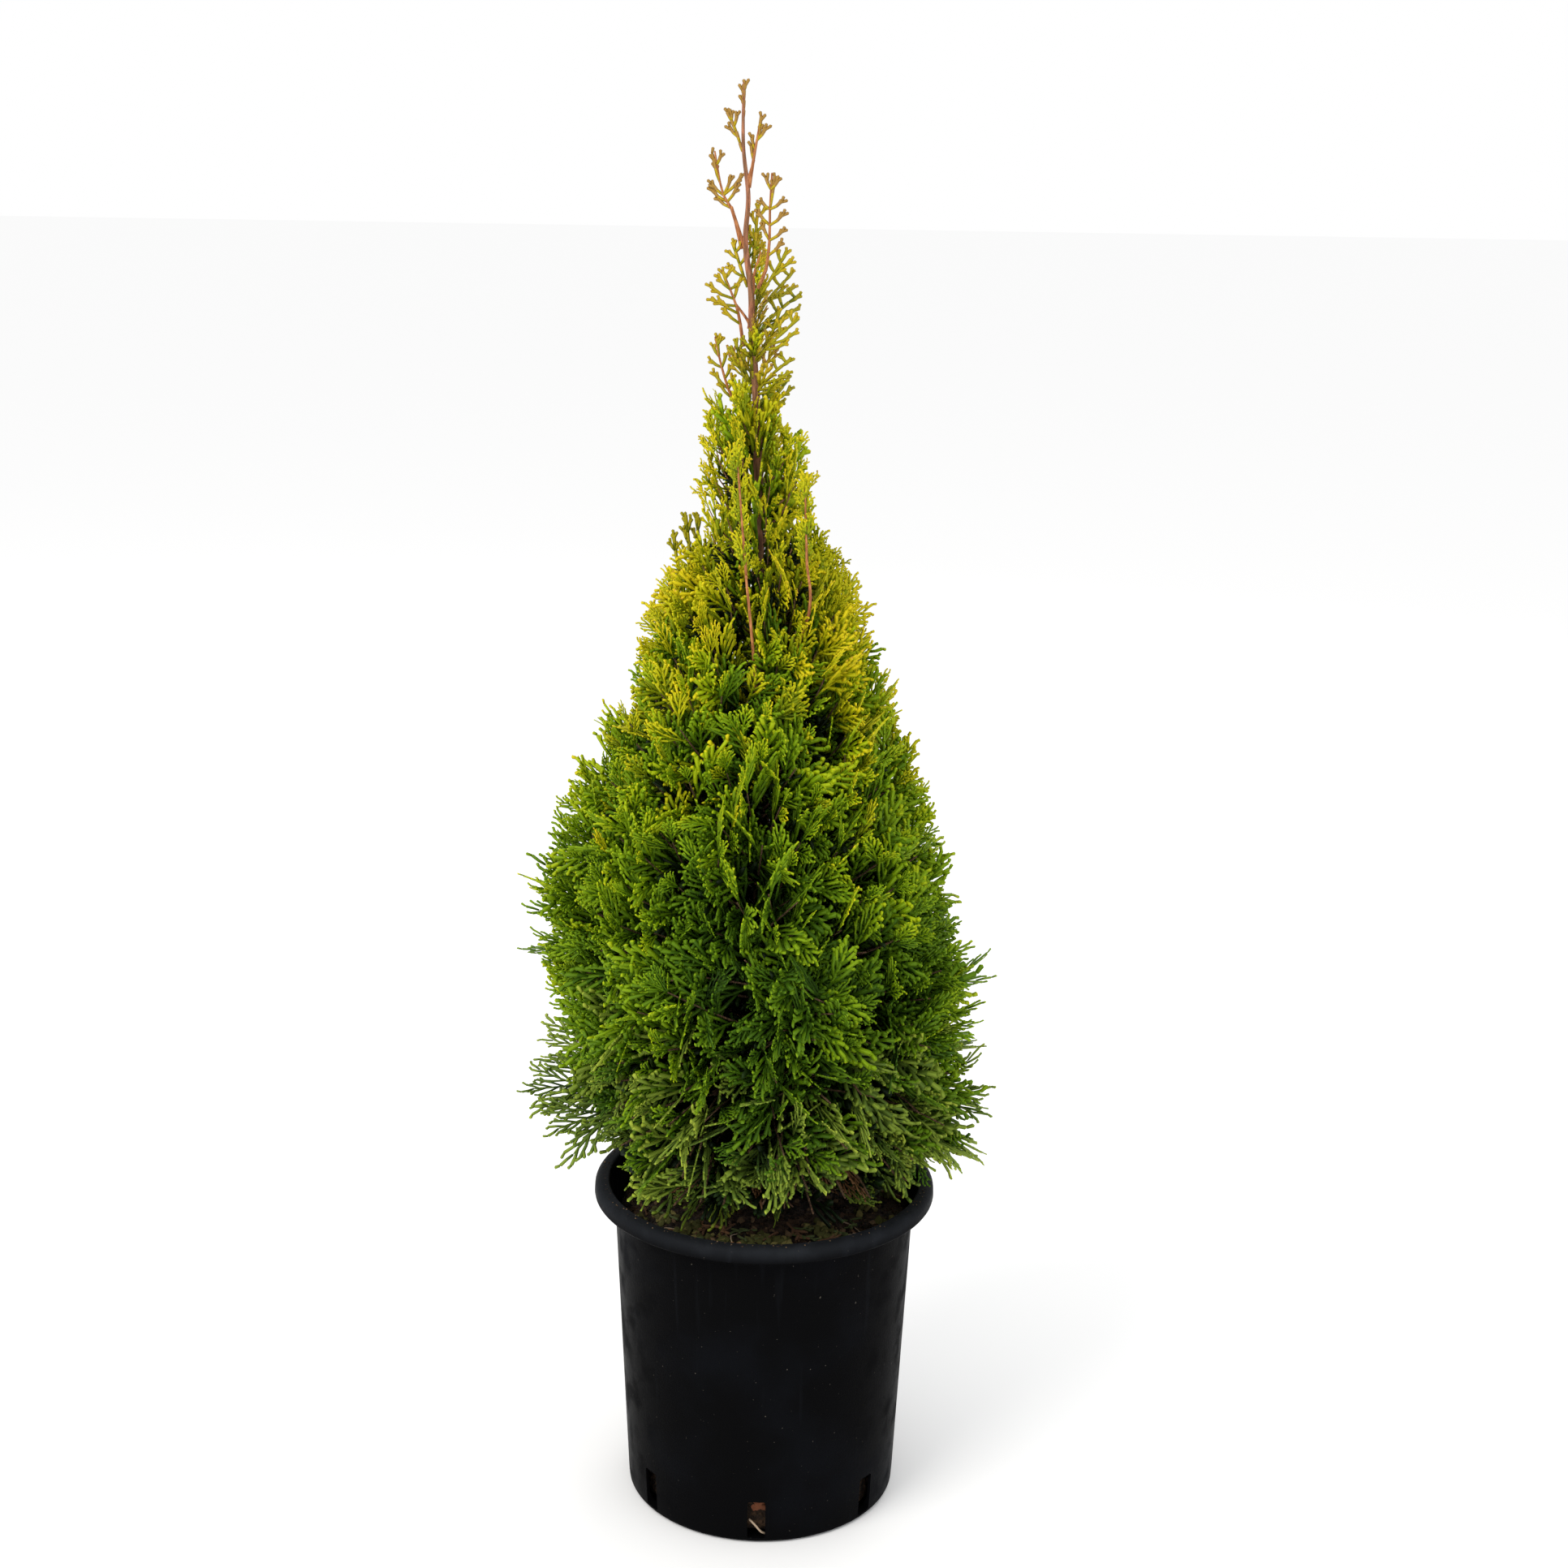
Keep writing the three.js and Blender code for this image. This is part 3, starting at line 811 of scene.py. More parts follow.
CRUMB_FINISHES = [
    plain_material("dark_crumb", srgb(30, 24, 19), 0.95, 0.2),
    plain_material("brown_crumb", srgb(62, 45, 33), 0.95, 0.2),
    plain_material("pale_crumb", srgb(104, 84, 62), 0.95, 0.2),
    plain_material("moss_green", srgb(74, 74, 40), 0.95, 0.1),
    plain_material("moss_tip", srgb(112, 104, 62), 0.95, 0.1),
]


# %% Places for crumbs and moss
def on_mix(radius, angle, lift):
    """A place a little above the mix's uneven top."""
    return *around(radius, angle), mix_wobble(radius, MIX_TOP, angle)[1] + lift


def any_turn():
    """Three free angles."""
    return rng.uniform(0, 6.28, 3)


def crumb_points(count):
    """Crumbs all over the mix, most of them small and dark."""
    made = []
    for _ in range(count):
        radius = CRUMB_REACH * math.sqrt(rng.uniform(0.02, 0.95))
        angle = rng.uniform(0, FULL_TURN)
        size = LEAST_CRUMB + CRUMB_GROWTH * rng.random() ** 2.5
        tone = min(2, int(rng.random() ** 1.6 * 3))
        place = on_mix(radius, angle, size * 0.2)
        made.append((place, any_turn(), size, rng.integers(0, CRUMB_SHAPES), tone))
    return made


def moss_points(cushions):
    """Cushions of small rounded lumps, most of them near the front of the pot."""
    made = []
    for _ in range(cushions):
        angle = rng.normal(0.1, 0.9)
        radius = rng.uniform(*MOSS_RING)
        for _ in range(rng.integers(4, 11)):
            a = angle + rng.normal(0, 0.045)
            r = min(radius + rng.normal(0, 0.004), MOSS_EDGE)
            size = rng.uniform(*MOSS_SIZES)
            place = on_mix(r, a, size * 0.4)
            tone = 3 + (rng.random() < 0.35)
            made.append((place, any_turn(), size, rng.integers(0, CRUMB_SHAPES), tone))
    return made


# %% Crumbs and moss on the mix
crumb_tree = scatter_tree("crumbs_on_mix", CRUMB_FINISHES)
crumb_shelf = shape_collection(
    "crumb", [lump_mesh(f"crumb_{i}", i * 7.3, 1, 1.1, 0.75) for i in range(CRUMB_SHAPES)]
)
crumbs = scatter("mix_crumbs", crumb_tree, crumb_shelf, crumb_points(CRUMB_COUNT))
moss = scatter("moss_cushions", crumb_tree, crumb_shelf, moss_points(CUSHION_COUNT))
finish_piece(crumbs, "potting_mix")
finish_piece(moss, "potting_mix")
print("crumbs", len(crumbs.data.polygons), "moss", len(moss.data.polygons))


# %% Grains on the lip
def rim_grains(count):
    """Grains of mix that were spilled on the lip."""
    made = []
    for _ in range(count):
        angle = rng.uniform(0, FULL_TURN)
        radius = rng.uniform(MOUTH_RADIUS + 0.002, RIM_RADIUS - 0.004)
        size = rng.uniform(0.0002, 0.0007)
        place = (*around(radius, angle), POT_HEIGHT)
        tone = int(rng.integers(1, 3))
        made.append((place, any_turn(), size, rng.integers(0, CRUMB_SHAPES), tone))
    return made


# %% Shape and finishes of a dry sprig
def sprig_mesh(name, seed, prongs, thick):
    """A dry curled thread, with a few side prongs if it is a fallen sprig."""
    draw = np.random.default_rng(seed)
    low, high = (draw.normal(0, 0.25), -0.2, 0.06), (draw.normal(0, 0.2), 0.5, 0.1)
    path = smooth_path([(0, -1, 0), low, high, (draw.normal(0, 0.35), 1, 0)], 7)
    parts = [tube(path, np.linspace(thick, thick * 0.6, 7), 4)]
    for i in range(prongs):
        foot = path[2 + i % 4]
        side = (-1) ** i * draw.uniform(0.25, 0.45)
        end = foot + np.array([side, draw.uniform(0.35, 0.55), 0.05])
        middle = (foot + end) / 2 + (0, 0.03, 0.03)
        parts.append(tube([foot, middle, end], [thick] * 3, 4))
    verts, faces = joined(parts)
    mesh = bpy.data.meshes.new(name)
    mesh.from_pydata([tuple(v) for v in verts], [], faces)
    mesh.attributes.new("age", "FLOAT", "FACE")
    return mesh


LITTER_FINISHES = [
    plain_material("dry_sprig_orange", srgb(132, 96, 66), 0.8, 0.2),
    plain_material("dry_sprig_brown", srgb(96, 70, 50), 0.8, 0.2),
    plain_material("dry_sprig_green", srgb(74, 84, 48), 0.8, 0.2),
    plain_material("pale_root", srgb(168, 148, 126), 0.7, 0.2),
    plain_material("red_clay", srgb(84, 48, 30), 0.9, 0.15),
]
PALE_ROOT, RED_CLAY = LITTER_FINISHES[3:]
SPRIG_SHAPES = 4
SPRIG_COUNT = 42
ROOT_COUNT = 10
THREAD_REACH = 0.097
THREAD_EDGE = 0.099  # no thread's end comes nearer to the wall
GRAIN_COUNT = 150


# %% Places for fallen threads
def litter_points(count, kinds, tones, size):
    """Places for fallen threads, more of them at the front, of the given shapes and tones."""
    made = []
    for _ in range(count):
        angle = rng.normal(0.05, 0.75) if rng.random() < 0.6 else rng.uniform(0, FULL_TURN)
        radius = THREAD_REACH * math.sqrt(rng.uniform(0.3, 0.95))
        turn = (rng.normal(0, 0.25), rng.normal(0, 0.25), rng.uniform(0, 6.28))
        grow = rng.uniform(*size)
        radius = min(radius, THREAD_EDGE - grow)
        place = on_mix(radius, angle, 0.0012 + 0.002 * rng.random())
        made.append((place, turn, grow, rng.integers(*kinds), rng.choice(tones)))
    return made


# %% Dry sprigs on the mix and grains on the lip
litter_tree = scatter_tree("litter_on_mix", LITTER_FINISHES)
litter_shelf = shape_collection(
    "litter",
    [sprig_mesh(f"dry_sprig_{i}", i, 4, 0.10) for i in range(SPRIG_SHAPES)]
    + [sprig_mesh(f"root_thread_{i}", 40 + i, 0, 0.05) for i in range(SPRIG_SHAPES)],
)
fallen = litter_points(SPRIG_COUNT, (0, SPRIG_SHAPES), (0, 1, 1, 2, 2), (0.006, 0.0125))
fallen += litter_points(ROOT_COUNT, (SPRIG_SHAPES, 2 * SPRIG_SHAPES), (3,), (0.006, 0.011))
litter = scatter("fallen_sprigs", litter_tree, litter_shelf, fallen)
finish_piece(litter, "potting_mix")
clear_shelf(litter_shelf)

grains = scatter("lip_grains", crumb_tree, crumb_shelf, rim_grains(GRAIN_COUNT))
finish_piece(grains, "potting_mix")
clear_shelf(crumb_shelf)
print("litter", len(litter.data.polygons), "grains", len(grains.data.polygons))

# %% [markdown]
# ### Lump and root in the front slot
# A lump of reddish clay and the end of a pale root show in the front drainage slot. They could be
# painted on the mix behind the slot, but they stand out from it, so both are small meshes.

# %% Fill the front slot
CLAY_PLACE = (0.0008, -0.0945, 0.0300)
CLAY_SIZE = (0.0055, 0.0026, 0.0040)
ROOT_RADIUS = 0.00075
ROOT_BENDS = [
    (-0.0052, -0.0925, 0.0165),
    (-0.001, -0.0948, 0.0135),
    (0.003, -0.0946, 0.0085),
    (0.0058, -0.0925, 0.0058),
]


def slot_filling():
    """The lump under the slot's head and the root that crosses the gap."""
    turn = Matrix.Rotation(SLOT_TURN, 4, "Z")
    mesh = lump_mesh("slot_lump", 3.1, 3, 1.0, 1.0)
    mesh.transform(turn @ Matrix.Translation(CLAY_PLACE) @ Matrix.Diagonal((*CLAY_SIZE, 1)))
    mesh.materials.append(RED_CLAY)
    lump = bpy.data.objects.new("slot_lump", mesh)
    bpy.context.scene.collection.objects.link(lump)
    path = smooth_path(ROOT_BENDS, 16)
    root = mesh_object("slot_root", *tube(path, [ROOT_RADIUS] * 16, 8, 0.1), [PALE_ROOT])
    root.data.transform(turn)
    finish_piece(lump, "potting_mix")
    finish_piece(root, "potting_mix")
    print("slot lump", len(mesh.polygons), "root", len(root.data.polygons))


slot_filling()

# %% [markdown]
# ## Trunk and limbs
# The stem tapers from a flared foot to a thread at the tip, with shallow ridges of bark. A curve
# with a bevel would be quicker but perfectly round, so limbs are tubes swept along smooth paths
# with a little relief in their radius. The bark is brown and fissured low down, and smoother and
# redder on the young wood at the top.


# %% Bark finish
def bark_material():
    """Fissured bark that turns redder with height, with greenish patches."""
    material = plain_material("thuja_bark", srgb(110, 76, 56), 0.85, 0.25)
    fissures = add_group(material, STREAKS, Scale=700.0, Stretch=0.12, Low=0.4, High=0.6)
    patches = add_group(material, PATCHES, Scale=90.0, Detail=6.0, Low=0.4, High=0.62)
    young = height_mask(material, 0.60, 0.80)
    old = mix_color(material, fissures, srgb(62, 44, 34), srgb(112, 82, 62))
    fresh = mix_color(material, fissures, srgb(120, 76, 54), srgb(176, 118, 88))
    color = mix_color(material, young, old, fresh)
    color = mix_color(material, scaled(material, patches, 0, 0.35), color, srgb(104, 92, 60))
    return finish_material(material, color, fissures, 0.0005)


def young_bark_material():
    """Smooth reddish bark with fine streaks."""
    material = plain_material("young_bark", srgb(168, 108, 62), 0.75, 0.25)
    streaks = add_group(material, STREAKS, Scale=900.0, Stretch=0.15, Low=0.4, High=0.6)
    color = mix_color(material, streaks, srgb(140, 84, 48), srgb(186, 124, 76))
    return finish_material(material, color, streaks, 0.0003)


BARK = bark_material()
YOUNG_BARK = young_bark_material()

# %% Trunk
TRUNK_FOOT = 0.0095
TRUNK_TIP = 0.0008
FLARE = 0.005
FLARE_HEIGHT = 0.020
FOOT_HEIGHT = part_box("trunk")[0][2]
PLANT_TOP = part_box("trunk")[1][2]
TRUNK_POINTS = [
    (0, 0, FOOT_HEIGHT),
    (-0.001, 0.001, 0.300),
    (-0.004, 0.003, 0.430),
    (-0.008, 0.002, 0.580),
    (-0.010, 0, 0.700),
    (-0.0115, 0, 0.764),
    (-0.0155, 0, 0.820),
    (-0.0165, 0, 0.847),
    (-0.0205, 0, 0.878),
    (-0.019, 0, 0.907),
    (-0.0225, 0, 0.938),
    (-0.0225, 0, PLANT_TOP),
]
TRUNK_PATH = smooth_path(TRUNK_POINTS, 150)


def trunk_at(z):
    """The middle of the trunk at one height."""
    return np.array([np.interp(z, TRUNK_PATH[:, 2], TRUNK_PATH[:, i]) for i in range(3)])


def trunk_radius(z):
    """A slow taper, with a root flare that dies away above the foot."""
    share = (z - FOOT_HEIGHT) / (PLANT_TOP - FOOT_HEIGHT)
    taper = TRUNK_FOOT + (TRUNK_TIP - TRUNK_FOOT) * max(share, 0) ** 0.8
    return taper + FLARE * math.exp(-(z - FOOT_HEIGHT) / FLARE_HEIGHT)


BARK_RELIEF = 0.10
trunk_shape = tube(TRUNK_PATH, [trunk_radius(z) for z in TRUNK_PATH[:, 2]], 20, BARK_RELIEF)
trunk = mesh_object("trunk_bark", *trunk_shape, [BARK])
finish_piece(trunk, "bark", "trunk")
print("trunk faces", len(trunk.data.polygons))

# %% [markdown]
# ## Where the foliage goes
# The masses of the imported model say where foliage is. Hair could grow from their faces, but it
# would show each mass as a clipped bush. So they are only measured: a ray shot at the trunk from
# outside finds the crown's surface at any height and bearing, and points picked on the masses'
# outward faces are where fronds end.


# %% Reading the masses
def mesh_arrays(node):
    """Vertices and triangles of a built node."""
    mesh = nodes[node].data
    verts = np.empty(len(mesh.vertices) * 3)
    mesh.vertices.foreach_get("co", verts)
    mesh.calc_loop_triangles()
    tris = np.empty(len(mesh.loop_triangles) * 3, dtype=np.int32)
    mesh.loop_triangles.foreach_get("vertices", tris)
    return verts.reshape(-1, 3), tris.reshape(-1, 3)


MASSES = sorted(name for name in nodes if "_foliage" in name or "_spray_" in name)
FULL_MASSES = [n for n in MASSES if "_foliage" in n and "shoot" not in n]
LIMBS = sorted(n for n in nodes if n not in MASSES and n not in ("pot", "potting_mix", "trunk"))


def crown_tree(names):
    verts, tris = [], []
    for name in names:
        v, t = mesh_arrays(name)
        tris += (t + len(verts)).tolist()
        verts += v.tolist()
    return BVHTree.FromPolygons(verts, tris)


# %% Reach of the masses
CROWN = crown_tree(FULL_MASSES)
FAR = 0.4  # well outside the crown
BARE_REACH = 0.012  # round the trunk where a ray meets no mass


def outward(bearing):
    """The level direction at a bearing, which is 0 at the front and a quarter turn on the right."""
    return np.array([math.sin(bearing), -math.cos(bearing), 0.0])


def polar(point):
    """Distance and bearing of a point from the trunk's centre line."""
    axis = trunk_at(point[2])
    dx, dy = point[0] - axis[0], point[1] - axis[1]
    return math.hypot(dx, dy), math.atan2(dx, -dy)


def surface_reach(z, bearing):
    """How far the masses reach from the trunk at one height and bearing."""
    way = outward(bearing)
    hit = CROWN.ray_cast(Vector(trunk_at(z) + way * FAR), Vector(-way), FAR)[3]
    return FAR - hit if hit is not None else BARE_REACH


# %% Envelope of the crown
LEVEL_STEP = 0.0125
LEVELS = np.arange(0.225, 0.84, LEVEL_STEP)
BEARINGS = 24


def measure_envelope():
    """The reach without its grooves: at each level the largest of the near readings."""
    step = FULL_TURN / BEARINGS
    reach = np.array([[surface_reach(z, j * step) for j in range(BEARINGS)] for z in LEVELS])
    wide = np.maximum(reach, np.maximum(np.roll(reach, 1, 1), np.roll(reach, -1, 1)))
    wide[1:-1] = np.maximum(wide[1:-1], np.maximum(wide[:-2], wide[2:]))
    return wide


ENVELOPE = measure_envelope()


def envelope(z, bearing):
    i = int(np.clip(round((z - LEVELS[0]) / LEVEL_STEP), 0, len(LEVELS) - 1))
    return ENVELOPE[i, int(round(bearing / FULL_TURN * BEARINGS)) % BEARINGS]


print("crown reach", ENVELOPE.min().round(3), ENVELOPE.max().round(3))

# %% [markdown]
# ## Sprays
# Thuja leaves are tiny scales pressed along flat, much forked branchlets. Single scales would be
# far too many, and cards with a picture of a spray are seen through from the side. So one
# branchlet is a closed finger with three faces round it, and a spray is a comb of fingers on an
# axis, left and right in turn, each with short blunt forks near its end. A seeded rule grows a
# set of sprays of each kind, and every face keeps its age, which colours it later: lighter
# towards the tips, partly as young growth and partly as painted shade at the bases.


# %% Spray rule
# Each finger lightens towards its tip: partly the real colour of young growth, partly painted shade
# at its base.
AGE_AND_SHADE_STEP = 0.85  # colours passed for each unit of age; from base to tip a spray passes about 2.8
RIDGE = 0.42  # height of a finger's ridge as a share of its width


class Spray:
    """The fingers of one flat spray that grows along +Y in the XY plane."""

    def __init__(self, seed, length, spread=(0.42, 0.68)):
        self.rng = np.random.default_rng(seed)
        self.length = length
        self.spread = spread
        self.verts, self.faces, self.ages = [], [], []

    def finger(self, path, widths, ages):
        """A closed finger along a path: a ring at every point but the last, which is the tip."""
        base = len(self.verts)
        rings = len(path) - 1
        for k in range(rings):
            way = path[k + 1] - path[k]
            way = way / np.linalg.norm(way)
            side = np.array([way[1], -way[0], 0.0]) * widths[k] / 2
            self.verts += [path[k] - side, path[k] + (0, 0, widths[k] * RIDGE), path[k] + side]
        self.verts.append(path[-1])
        add = [(base, base + 2, base + 1)]
        for k in range(rings - 1):
            a = base + 3 * k
            for i in range(3):
                j = (i + 1) % 3
                add.append((a + i, a + j, a + 3 + j, a + 3 + i))
        a = base + 3 * (rings - 1)
        add += [(a + i, a + (i + 1) % 3, base + 3 * rings) for i in range(3)]
        self.faces += add
        span = max(rings - 1, 1)
        self.ages += [ages[0]]
        for k in range(rings - 1):
            self.ages += [ages[0] + (ages[1] - ages[0]) * (k + 0.7) / span] * 3
        self.ages += [ages[1] + 0.4] * 3

    def branchlet(self, start, heading, length, close, width, stubs, stub_length, age):
        """A side branchlet that bends by close along its length, with forks near its end."""
        path = [start]
        for k, share in enumerate((0.46, 0.46, 0.08)):
            turn = heading + close * (0.2, 0.8, 1.0)[k]
            way = np.array([math.sin(turn), math.cos(turn), 0.0])
            path.append(path[-1] + way * length * share)
        self.finger(path, [width * 0.72, width * 0.92, width], (age, age + 1.5))
        side = 1 if self.rng.random() < 0.5 else -1
        for i in range(stubs):
            share = 0.93 - 0.5 * (i + self.rng.uniform(-0.2, 0.2)) / max(stubs, 2)
            k = 1 if share > 0.46 else 0
            spot = path[k] + (path[k + 1] - path[k]) * ((share - 0.46 * k) / 0.46)
            side = -side
            turn = heading + close * share + side * self.rng.uniform(*self.spread)
            size = stub_length * self.rng.uniform(0.75, 1.2) * (0.8 + 0.3 * (i > 0))
            self.stub(spot, turn, size, width * 0.92, age + 1.2)

    def stub(self, start, heading, length, width, age):
        way = np.array([math.sin(heading), math.cos(heading), 0.0])
        path = [start, start + way * length * 0.84, start + way * length]
        self.finger(path, [width * 0.8, width], (age, age + 0.7))


# %% Grow a spray
def grow_spray(seed, length, width, pitch, share, lead, angle, close, stubs, stub_length):
    """A spray with side branchlets a pitch apart; share and lead give their length from the tip."""
    spray = Spray(seed, length)
    draw = spray.rng
    bend = draw.normal(0, 0.16)
    steps = np.linspace(0, 1, 7)
    at, axis = np.zeros(3), [np.zeros(3)]
    for share_up in steps[1:]:
        way = np.array([math.sin(bend * share_up), math.cos(bend * share_up), 0.0])
        at = at + way * length / 6
        axis.append(at)
    axis = np.array(axis)
    spray.finger(list(axis), list(np.linspace(width * 0.85, width * 0.8, 6)), (0.2, 2.0))
    side = 1 if draw.random() < 0.5 else -1
    s = pitch * 1.2
    while s < length * 0.96:
        part = s / length
        spot = np.array([np.interp(part, steps, axis[:, i]) for i in range(3)])
        size = ((length - s) * share + lead) * min(1, 0.55 + 1.6 * part) * draw.uniform(0.86, 1.12)
        turn = bend * part + side * (angle * (1.1 - 0.35 * part) + draw.normal(0, 0.05))
        forks = int(round(stubs * min(1, size / (lead + length * share * 0.6))))
        spray.branchlet(
            spot, turn, size, -side * close * draw.uniform(0.6, 1.3), width, forks,
            stub_length, 0.2 + 0.9 * part,
        )
        side = -side
        s += pitch * draw.uniform(0.88, 1.12)
    return spray


# %% Mesh of a spray
def spray_mesh(name, spray, cup):
    """The spray as a mesh, slightly hollowed, each face carrying its age."""
    verts = np.array(spray.verts)
    verts[:, 2] += cup * (verts[:, 1] ** 2 + 0.8 * verts[:, 0] ** 2) / spray.length
    mesh = bpy.data.meshes.new(name)
    mesh.from_pydata(verts.tolist(), [], spray.faces)
    mesh.polygons.foreach_set("use_smooth", [True] * len(mesh.polygons))
    mesh.attributes.new("age", "FLOAT", "FACE").data.foreach_set(
        "value", np.array(spray.ages, dtype=np.float32) * AGE_AND_SHADE_STEP
    )
    return mesh


# %% [markdown]
# ### Kinds of spray
# On one plant the sprays differ by place. Low down, in shade, they are long bare fingers. Above
# they are fans full of forks, and round the leader narrow plumes. One shape scaled up and down
# would look stamped, so each kind has its own measures and several grown variants.

# %% Kinds of spray
KINDS = {
    "finger": dict(length=0.060, width=0.0038, pitch=0.0079, share=0.46, lead=0.014,
                   angle=0.52, close=0.24, stubs=2.0, stub_length=0.0072),
    "fan": dict(length=0.050, width=0.0038, pitch=0.0055, share=0.52, lead=0.011,
                angle=0.58, close=0.28, stubs=2.2, stub_length=0.0062),
    "sprig": dict(length=0.026, width=0.0028, pitch=0.0044, share=0.38, lead=0.0055,
                  angle=0.60, close=0.25, stubs=1.6, stub_length=0.0044),
    "plume": dict(length=0.042, width=0.0036, pitch=0.0074, share=0.30, lead=0.009,
                  angle=0.50, close=0.16, stubs=2.0, stub_length=0.0052),
    "inner": dict(length=0.060, width=0.0056, pitch=0.0085, share=0.50, lead=0.012,
                  angle=0.75, close=0.20, stubs=0, stub_length=0.004),
}
VARIANTS = 8


def make_variants():
    meshes, index = [], {}
    for number, (kind, rule) in enumerate(KINDS.items()):
        index[kind] = len(meshes)
        for i in range(VARIANTS):
            seed = 100 * number + i
            cup = np.random.default_rng(seed).uniform(-0.20, 0.20)
            meshes.append(spray_mesh(f"{kind}_{i}", grow_spray(seed, **rule), cup))
        made = meshes[index[kind] :]
        print(kind, "faces in a spray", round(sum(len(m.polygons) for m in made) / VARIANTS))
    return meshes, index


variant_meshes, KIND_INDEX = make_variants()
spray_shelf = shape_collection("spray", variant_meshes)

# %% [markdown]
# ## Leaf colours
# The sprays run from blackish green inside the crown, which is painted shade, to gold at sunlit
# tips. A noise pattern would ignore which leaf it crosses, so every colour is plain and a face
# takes one by number. The colours stand in families that run from dark to light, and a spray
# stays inside its family.

# %% Leaf colours
LEAF_FAMILIES = {
    "high": {
        "leaf_shade": (16, 30, 9),
        "leaf_deep": (28, 48, 10),
        "leaf_dark": (44, 71, 11),
        "leaf_green": (63, 96, 11),
        "leaf_fresh": (88, 121, 9),
        "leaf_yellow_green": (120, 150, 9),
        "leaf_lime": (158, 176, 10),
        "leaf_gold": (200, 190, 14),
    },
    "low": {
        "low_leaf_shade": (30, 46, 20),
        "low_leaf_deep": (55, 76, 31),
        "low_leaf_green": (86, 108, 36),
        "low_leaf_grey_green": (119, 140, 45),
        "low_leaf_tip": (152, 168, 54),
    },
    "sun": {
        "sun_leaf_shade": (82, 98, 8),
        "sun_leaf_olive": (134, 147, 8),
        "sun_leaf_yellow": (184, 182, 12),
        "sun_leaf_gold": (210, 194, 18),
        "sun_leaf_amber": (198, 158, 42),
    },
    "leader": {
        "leader_olive": (108, 112, 14),
        "leader_straw": (150, 142, 15),
        "leader_gold": (178, 154, 26),
        "leader_amber": (158, 122, 56),
    },
    "dry": {
        "dry_leaf_dark": (72, 50, 33),
        "dry_leaf": (112, 80, 51),
    },
}
LEAF_ROUGHNESS, LEAF_SHINE = 0.55, 0.15
LEAVES, FIRST_COLOR = [], {}
for family, colors in LEAF_FAMILIES.items():
    FIRST_COLOR[family] = len(LEAVES)
    for name, rgb in colors.items():
        LEAVES.append(plain_material(name, srgb(*rgb), LEAF_ROUGHNESS, LEAF_SHINE))
LOW, SUN, LEADER, DRY = (FIRST_COLOR[family] for family in ("low", "sun", "leader", "dry"))
leaf_tree = scatter_tree("sprays_on_twigs", LEAVES)
print("leaf colours", len(LEAVES), "families start at", FIRST_COLOR)

# %% [markdown]
# ## Fronds
# A frond is a curved twig with sprays left and right in turn, in one rough plane. Sprays strewn
# singly over the crown would look like fur, so they are hung on fronds, and each frond ends at a
# point on the crown's surface. Low fronds reach out and droop, those above turn more and more
# upright. Colour goes by place: gold where the light reaches, deep green inside the crown as
# painted shade, and greyer green near the pot.

# %% Picking frond tips
random = np.random.default_rng(7)  # the draws for everything that grows
OUTSIDE_SHARE = 0.72  # a tip nearer to the trunk than this share of the crown's reach is inside
POINTS_ON_MASS = 1500


def surface_points(node, count):
    """Random points on a mass, evenly spread over its area, with the face's outward normal."""
    verts, tris = mesh_arrays(node)
    a, b, c = verts[tris[:, 0]], verts[tris[:, 1]], verts[tris[:, 2]]
    cross = np.cross(b - a, c - a)
    area = np.linalg.norm(cross, axis=1)
    pick = random.choice(len(tris), count, p=area / area.sum())
    u, v = random.random((2, count))
    flip = u + v > 1
    u[flip], v[flip] = 1 - u[flip], 1 - v[flip]
    points = a[pick] + (b - a)[pick] * u[:, None] + (c - a)[pick] * v[:, None]
    return points, cross[pick] / area[pick][:, None]


def spacing(z):
    """The least distance between two tips."""
    return float(np.interp(z, [0.45, 0.62, 0.72, 0.80], [0.0215, 0.0195, 0.016, 0.0135]))


def pick_tips():
    """Tips on the outside of the crown, kept apart from one another."""
    places, tips = [], []
    for node in FULL_MASSES:
        for point, normal in zip(*surface_points(node, POINTS_ON_MASS)):
            rho, bearing = polar(point)
            inside = rho < OUTSIDE_SHARE * envelope(point[2], bearing)
            if inside or normal @ outward(bearing) < -0.3:
                continue
            away = np.linalg.norm(np.array(places) - point, axis=1) if places else [1]
            if min(away) < spacing(point[2]):
                continue
            places.append(point)
            tips.append((node, point, normal))
    return tips


frond_tips = pick_tips()
print("frond tips", len(frond_tips))

# %% Turning and placing sprays
UP = np.array([0.0, 0.0, 1.0])


def unit(vector):
    return vector / max(np.linalg.norm(vector), 1e-9)


def turned_about(vector, axis, angle):
    return np.array(Matrix.Rotation(angle, 3, Vector(axis)) @ Vector(vector))


def orient(way, normal):
    """Euler turn that lays a spray's +Y along way and its face along normal."""
    y = unit(way)
    z = unit(normal - y * (normal @ y))
    x = np.cross(y, z)
    return Matrix((x, y, z)).transposed().to_euler("XYZ")


# %% Colour by place
TONE_LEVELS = [0.23, 0.32, 0.42, 0.52, 0.62, 0.72]
TONE_AT_LEVEL = [2.0, 2.7, 3.15, 4.05, 4.5, 4.6]
BRIGHTEST = 4.6  # a spray that starts here ends on its family's last colour
SMALL_FAMILY_RANGE = (-0.4, 1.6)  # the same for the families of five colours
# Painted shade: colour numbers lost from the crown's surface to its middle.
INNER_PAINTED_SHADE = 7.0  # colours lost from the crown's surface to its middle
SMALL_INNER_PAINTED_SHADE = 4.0


def low_share(z):
    """The share of grey-green sprays near the pot."""
    return float(np.interp(z, [0.25, 0.32, 0.40], [0.95, 0.40, 0.0]))


